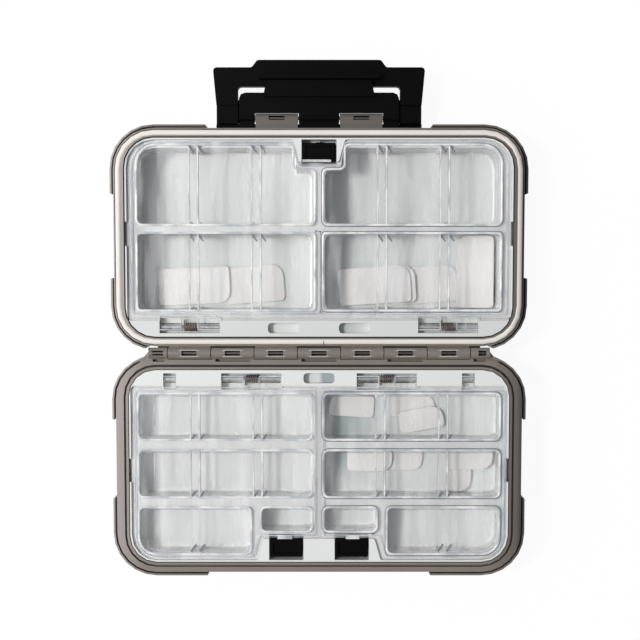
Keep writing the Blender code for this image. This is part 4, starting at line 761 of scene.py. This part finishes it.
lower_outer = 0.0918
long_rows = ((-0.0364, -0.0611), (-0.0652, -0.0904))
long_row_ribs = ((-0.0369, -0.0606), (-0.0657, -0.0899))
lower_corner, outer_corner = 0.0034, 0.0092
small_rear, small_front, wide_front = -0.0943, -0.1081, -0.1196
small_side, wide_side = 0.0300, 0.0337
painted_light_line_x, painted_light_line_width = -0.0829, 0.0005
lower_hinge_arms = ((0.0186, 0.0303), (0.0380, 0.0498), (0.0716, 0.0789))
lower_arm_rear, lower_arm_front = -0.0282, -0.0344
for hand, lid, inner in ((-1, "left_clear_lid", -0.0028), (1, "right_clear_lid", 0.0016)):
    lines = bmesh.new()
    outer = hand * lower_outer
    shades = bmesh.new() if hand == 1 else None
    for rear, front in long_rows:
        cell_line(lines, shades, box_path(inner, rear, outer, front, lower_corner))
        # A thin bright rib in the left lid's long cells is painted light, standing in for the
        # bright line the lid's ridge throws on the cell floor.
        if hand == -1:
            raised_rib(lines, painted_light_line_x, (rear - 0.002, front + 0.0075), painted_light_line_width)
    wide_cell = box_path(
        hand * wide_side, small_rear, outer, wide_front, lower_corner, outer_corner
    )
    cell_line(lines, shades, wide_cell)
    small_cell = box_path(inner, small_rear, hand * small_side, small_front, lower_corner)
    cell_line(lines, shades, small_cell)
    if shades:
        on_lid(shades, "right_lid_shade_lines", lid, shadow_line_plastic)
        mark = bmesh.new()
        black_mark(
            mark, 0.0273, -0.1085, height=0.0001, radius=0.00045, top_radius=0.0004, depth=0.0003
        )
        on_lid(mark, "right_lid_mark", lid, dark_and_shade_plastic)
    for x0, x1 in lower_hinge_arms:
        arm = box_path(hand * x0, lower_arm_rear, hand * x1, lower_arm_front, arm_corner)
        raised_loop(lines, arm, arm_width, arm_height, arm_top)
    lower_border = [
        (hand * 0.0018, -0.0354, 0.001), (hand * 0.0932, -0.0354, 0.001),
        (hand * 0.0932, -0.1208, 0.0112), (hand * 0.0331, -0.1208, 0.002),
        (hand * 0.0303, -0.1097, 0.001), (hand * 0.0018, -0.1097, 0.001),
    ]
    raised_loop(lines, lower_border, border_width, line_height, lid_top)
    ribs_over_slots(lines, hand, lower_slots, long_row_ribs)
    on_lid(lines, lid + "_lines", lid, line_plastic, 60)

# Catch buttons
# Sliding catches of satin black plastic hold the clear lids shut.
# Each slides in its well in the tray and holds the lid's hook, beside a raised edge on the lid.

black = Finish("black_plastic")
black_grain = mottle(black, 1800, 3)
black_plastic = black.surface(
    {
        "Base Color": blended(black, mottle(black, 150), tint(3, 3, 4), tint(8, 8, 9)),
        "Roughness": 0.42 + 0.15 * black_grain,
        "Specular IOR Level": 0.05,
        "Normal": raised(black, black_grain, 0.2, 0.0001),
    }
)
for node in ("upper_catch_button", "left_catch_button", "right_catch_button"):
    refined(node, 0.0002, black_plastic)

# The raised catch edges take the near-white line plastic, whose colour is painted highlight.
catch_edges = {
    "upper_clear_lid": ((-0.0083, 0.0060), (0.0784, 0.0797)),
    "left_clear_lid": ((-0.0210, -0.0135), (-0.1112, -0.1090)),
    "right_clear_lid": ((0.0135, 0.0205), (-0.1112, -0.1090)),
}
catch_edge_up, catch_edge_round = (0.0245, 0.0249), 0.00015
for lid, (across, ahead) in catch_edges.items():
    bar = bmesh.new()
    block(bar, across, ahead, catch_edge_up)
    bmesh.ops.bevel(
        bar, geom=bar.edges[:], offset=catch_edge_round, affect="EDGES", segments=2, profile=0.5,
        material=-1,
    )
    on_lid(bar, lid + "_catch_edge", lid, line_plastic)

# Latch
# A link and a lever of the same black plastic pull the two halves shut.
# Steel pins join them to each other and to the lid. A black strip on the lid under the link is
# painted shade in the gap behind it.

for node in ("latch_link", "latch_lever"):
    refined(node, 0.0003, black_plastic)
# A black strip under the link is painted shade, so the gap behind the latch shows dark instead of
# the table.
gap_shade_half_width = 0.0522
gap_shade_ahead, gap_shade_up = (0.0945, 0.0990), (0.0096, 0.0106)
gap_shade = bmesh.new()
block(gap_shade, (-gap_shade_half_width, gap_shade_half_width), gap_shade_ahead, gap_shade_up)
smooth_mesh(gap_shade, "latch_gap_shade_strip", black_plastic, "lid")

# Pins and springs
# The pins are drawn steel wire, in the barrels of the hinges and the latch.
# The springs are wound from thinner wire, on the clear lids' pins and behind the buttons.

steel = Finish("pin_steel")
steel_colour = blended(steel, mottle(steel, 900, 3), tint(92, 87, 83), tint(120, 115, 110))
pin_steel = steel.surface({"Base Color": steel_colour, "Metallic": 1.0, "Roughness": 0.3})
bright = Finish("bright_pin_steel")
bright_colour = blended(bright, mottle(bright, 900, 3), tint(150, 147, 146), tint(178, 175, 174))
bright_steel = bright.surface({"Base Color": bright_colour, "Metallic": 0.4, "Roughness": 0.3})
for node in frame["nodes"]:
    if node.endswith("pin"):
        small = "spring_hinge" in node or "plain_hinge" in node
        refined(node, 0.0001, bright_steel if small else pin_steel)
upper_well_wall, lower_well_wall = 0.0893, -0.12185
wells = {"upper": upper_well_wall, "left": lower_well_wall, "right": lower_well_wall}
for half, wall in wells.items():
    spring = refined(half + "_button_spring", 0, pin_steel, 60)
    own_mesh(spring)

wire = Finish("spring_wire")
wire_colour = blended(wire, mottle(wire, 900, 3), tint(84, 73, 68), tint(108, 96, 90))
spring_steel = wire.surface({"Base Color": wire_colour, "Metallic": 0.2, "Roughness": 0.35})
coil_length, coil_radius, wire_radius = 0.0064, 0.0020, 0.00031
coil_turns, steps_in_turn = 6, 16
front_arm, rear_arm = 0.0036, 0.0020
coil_height = 0.022
pin_places = {1: -0.00365, -1: -0.02985}


def fixed_order(made):
    """Sorts corners and faces by place, as a spin leaves them in another order each run."""
    for parts, place in (
        (made.verts, lambda corner: corner.co[:]),
        (made.faces, lambda face: sorted(corner.co[:] for corner in face.verts)),
    ):
        for n, part in enumerate(sorted(parts, key=place)):
            part.index = n
        parts.sort()


def torsion_spring(node, ahead):
    """A spring wound round its pin, with one arm under the clear lid and one behind."""
    low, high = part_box(node)
    middle = (low.x + high.x) / 2
    start = Vector((middle - coil_length / 2, pin_places[ahead], coil_height))
    upright = Matrix.Rotation(math.radians(90), 4, "X")
    place = Matrix.Translation(start - Vector((0, 0, coil_radius))) @ upright
    made = bmesh.new()
    first = bmesh.ops.create_circle(made, segments=8, radius=wire_radius, matrix=place)["verts"]
    start_edges = made.edges[:]
    steps = coil_turns * steps_in_turn
    end = bmesh.ops.spin(
        made, geom=first + start_edges, cent=start, axis=(ahead, 0, 0),
        dvec=(coil_length / steps, 0, 0), angle=math.radians(360 * coil_turns), steps=steps,
        use_duplicate=False,
    )["geom_last"]
    end_edges = [part for part in end if isinstance(part, bmesh.types.BMEdge)]
    for edges, reach in ((start_edges, ahead * front_arm), (end_edges, -ahead * rear_arm)):
        arm = bmesh.ops.extrude_edge_only(made, edges=edges)["geom"]
        corners = [part for part in arm if isinstance(part, bmesh.types.BMVert)]
        bmesh.ops.translate(made, verts=corners, vec=(0, reach, 0))
    bmesh.ops.holes_fill(made, edges=[edge for edge in made.edges if edge.is_boundary], sides=0)
    bmesh.ops.recalc_face_normals(made, faces=made.faces)
    fixed_order(made)
    spring = smooth_mesh(made, node + "_coil", spring_steel, body_of(node), 60)
    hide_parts(node)


for half, ahead in (("upper", 1), ("lower", -1)):
    for side in ("left", "right"):
        torsion_spring(f"{half}_{side}_lid_spring", ahead)
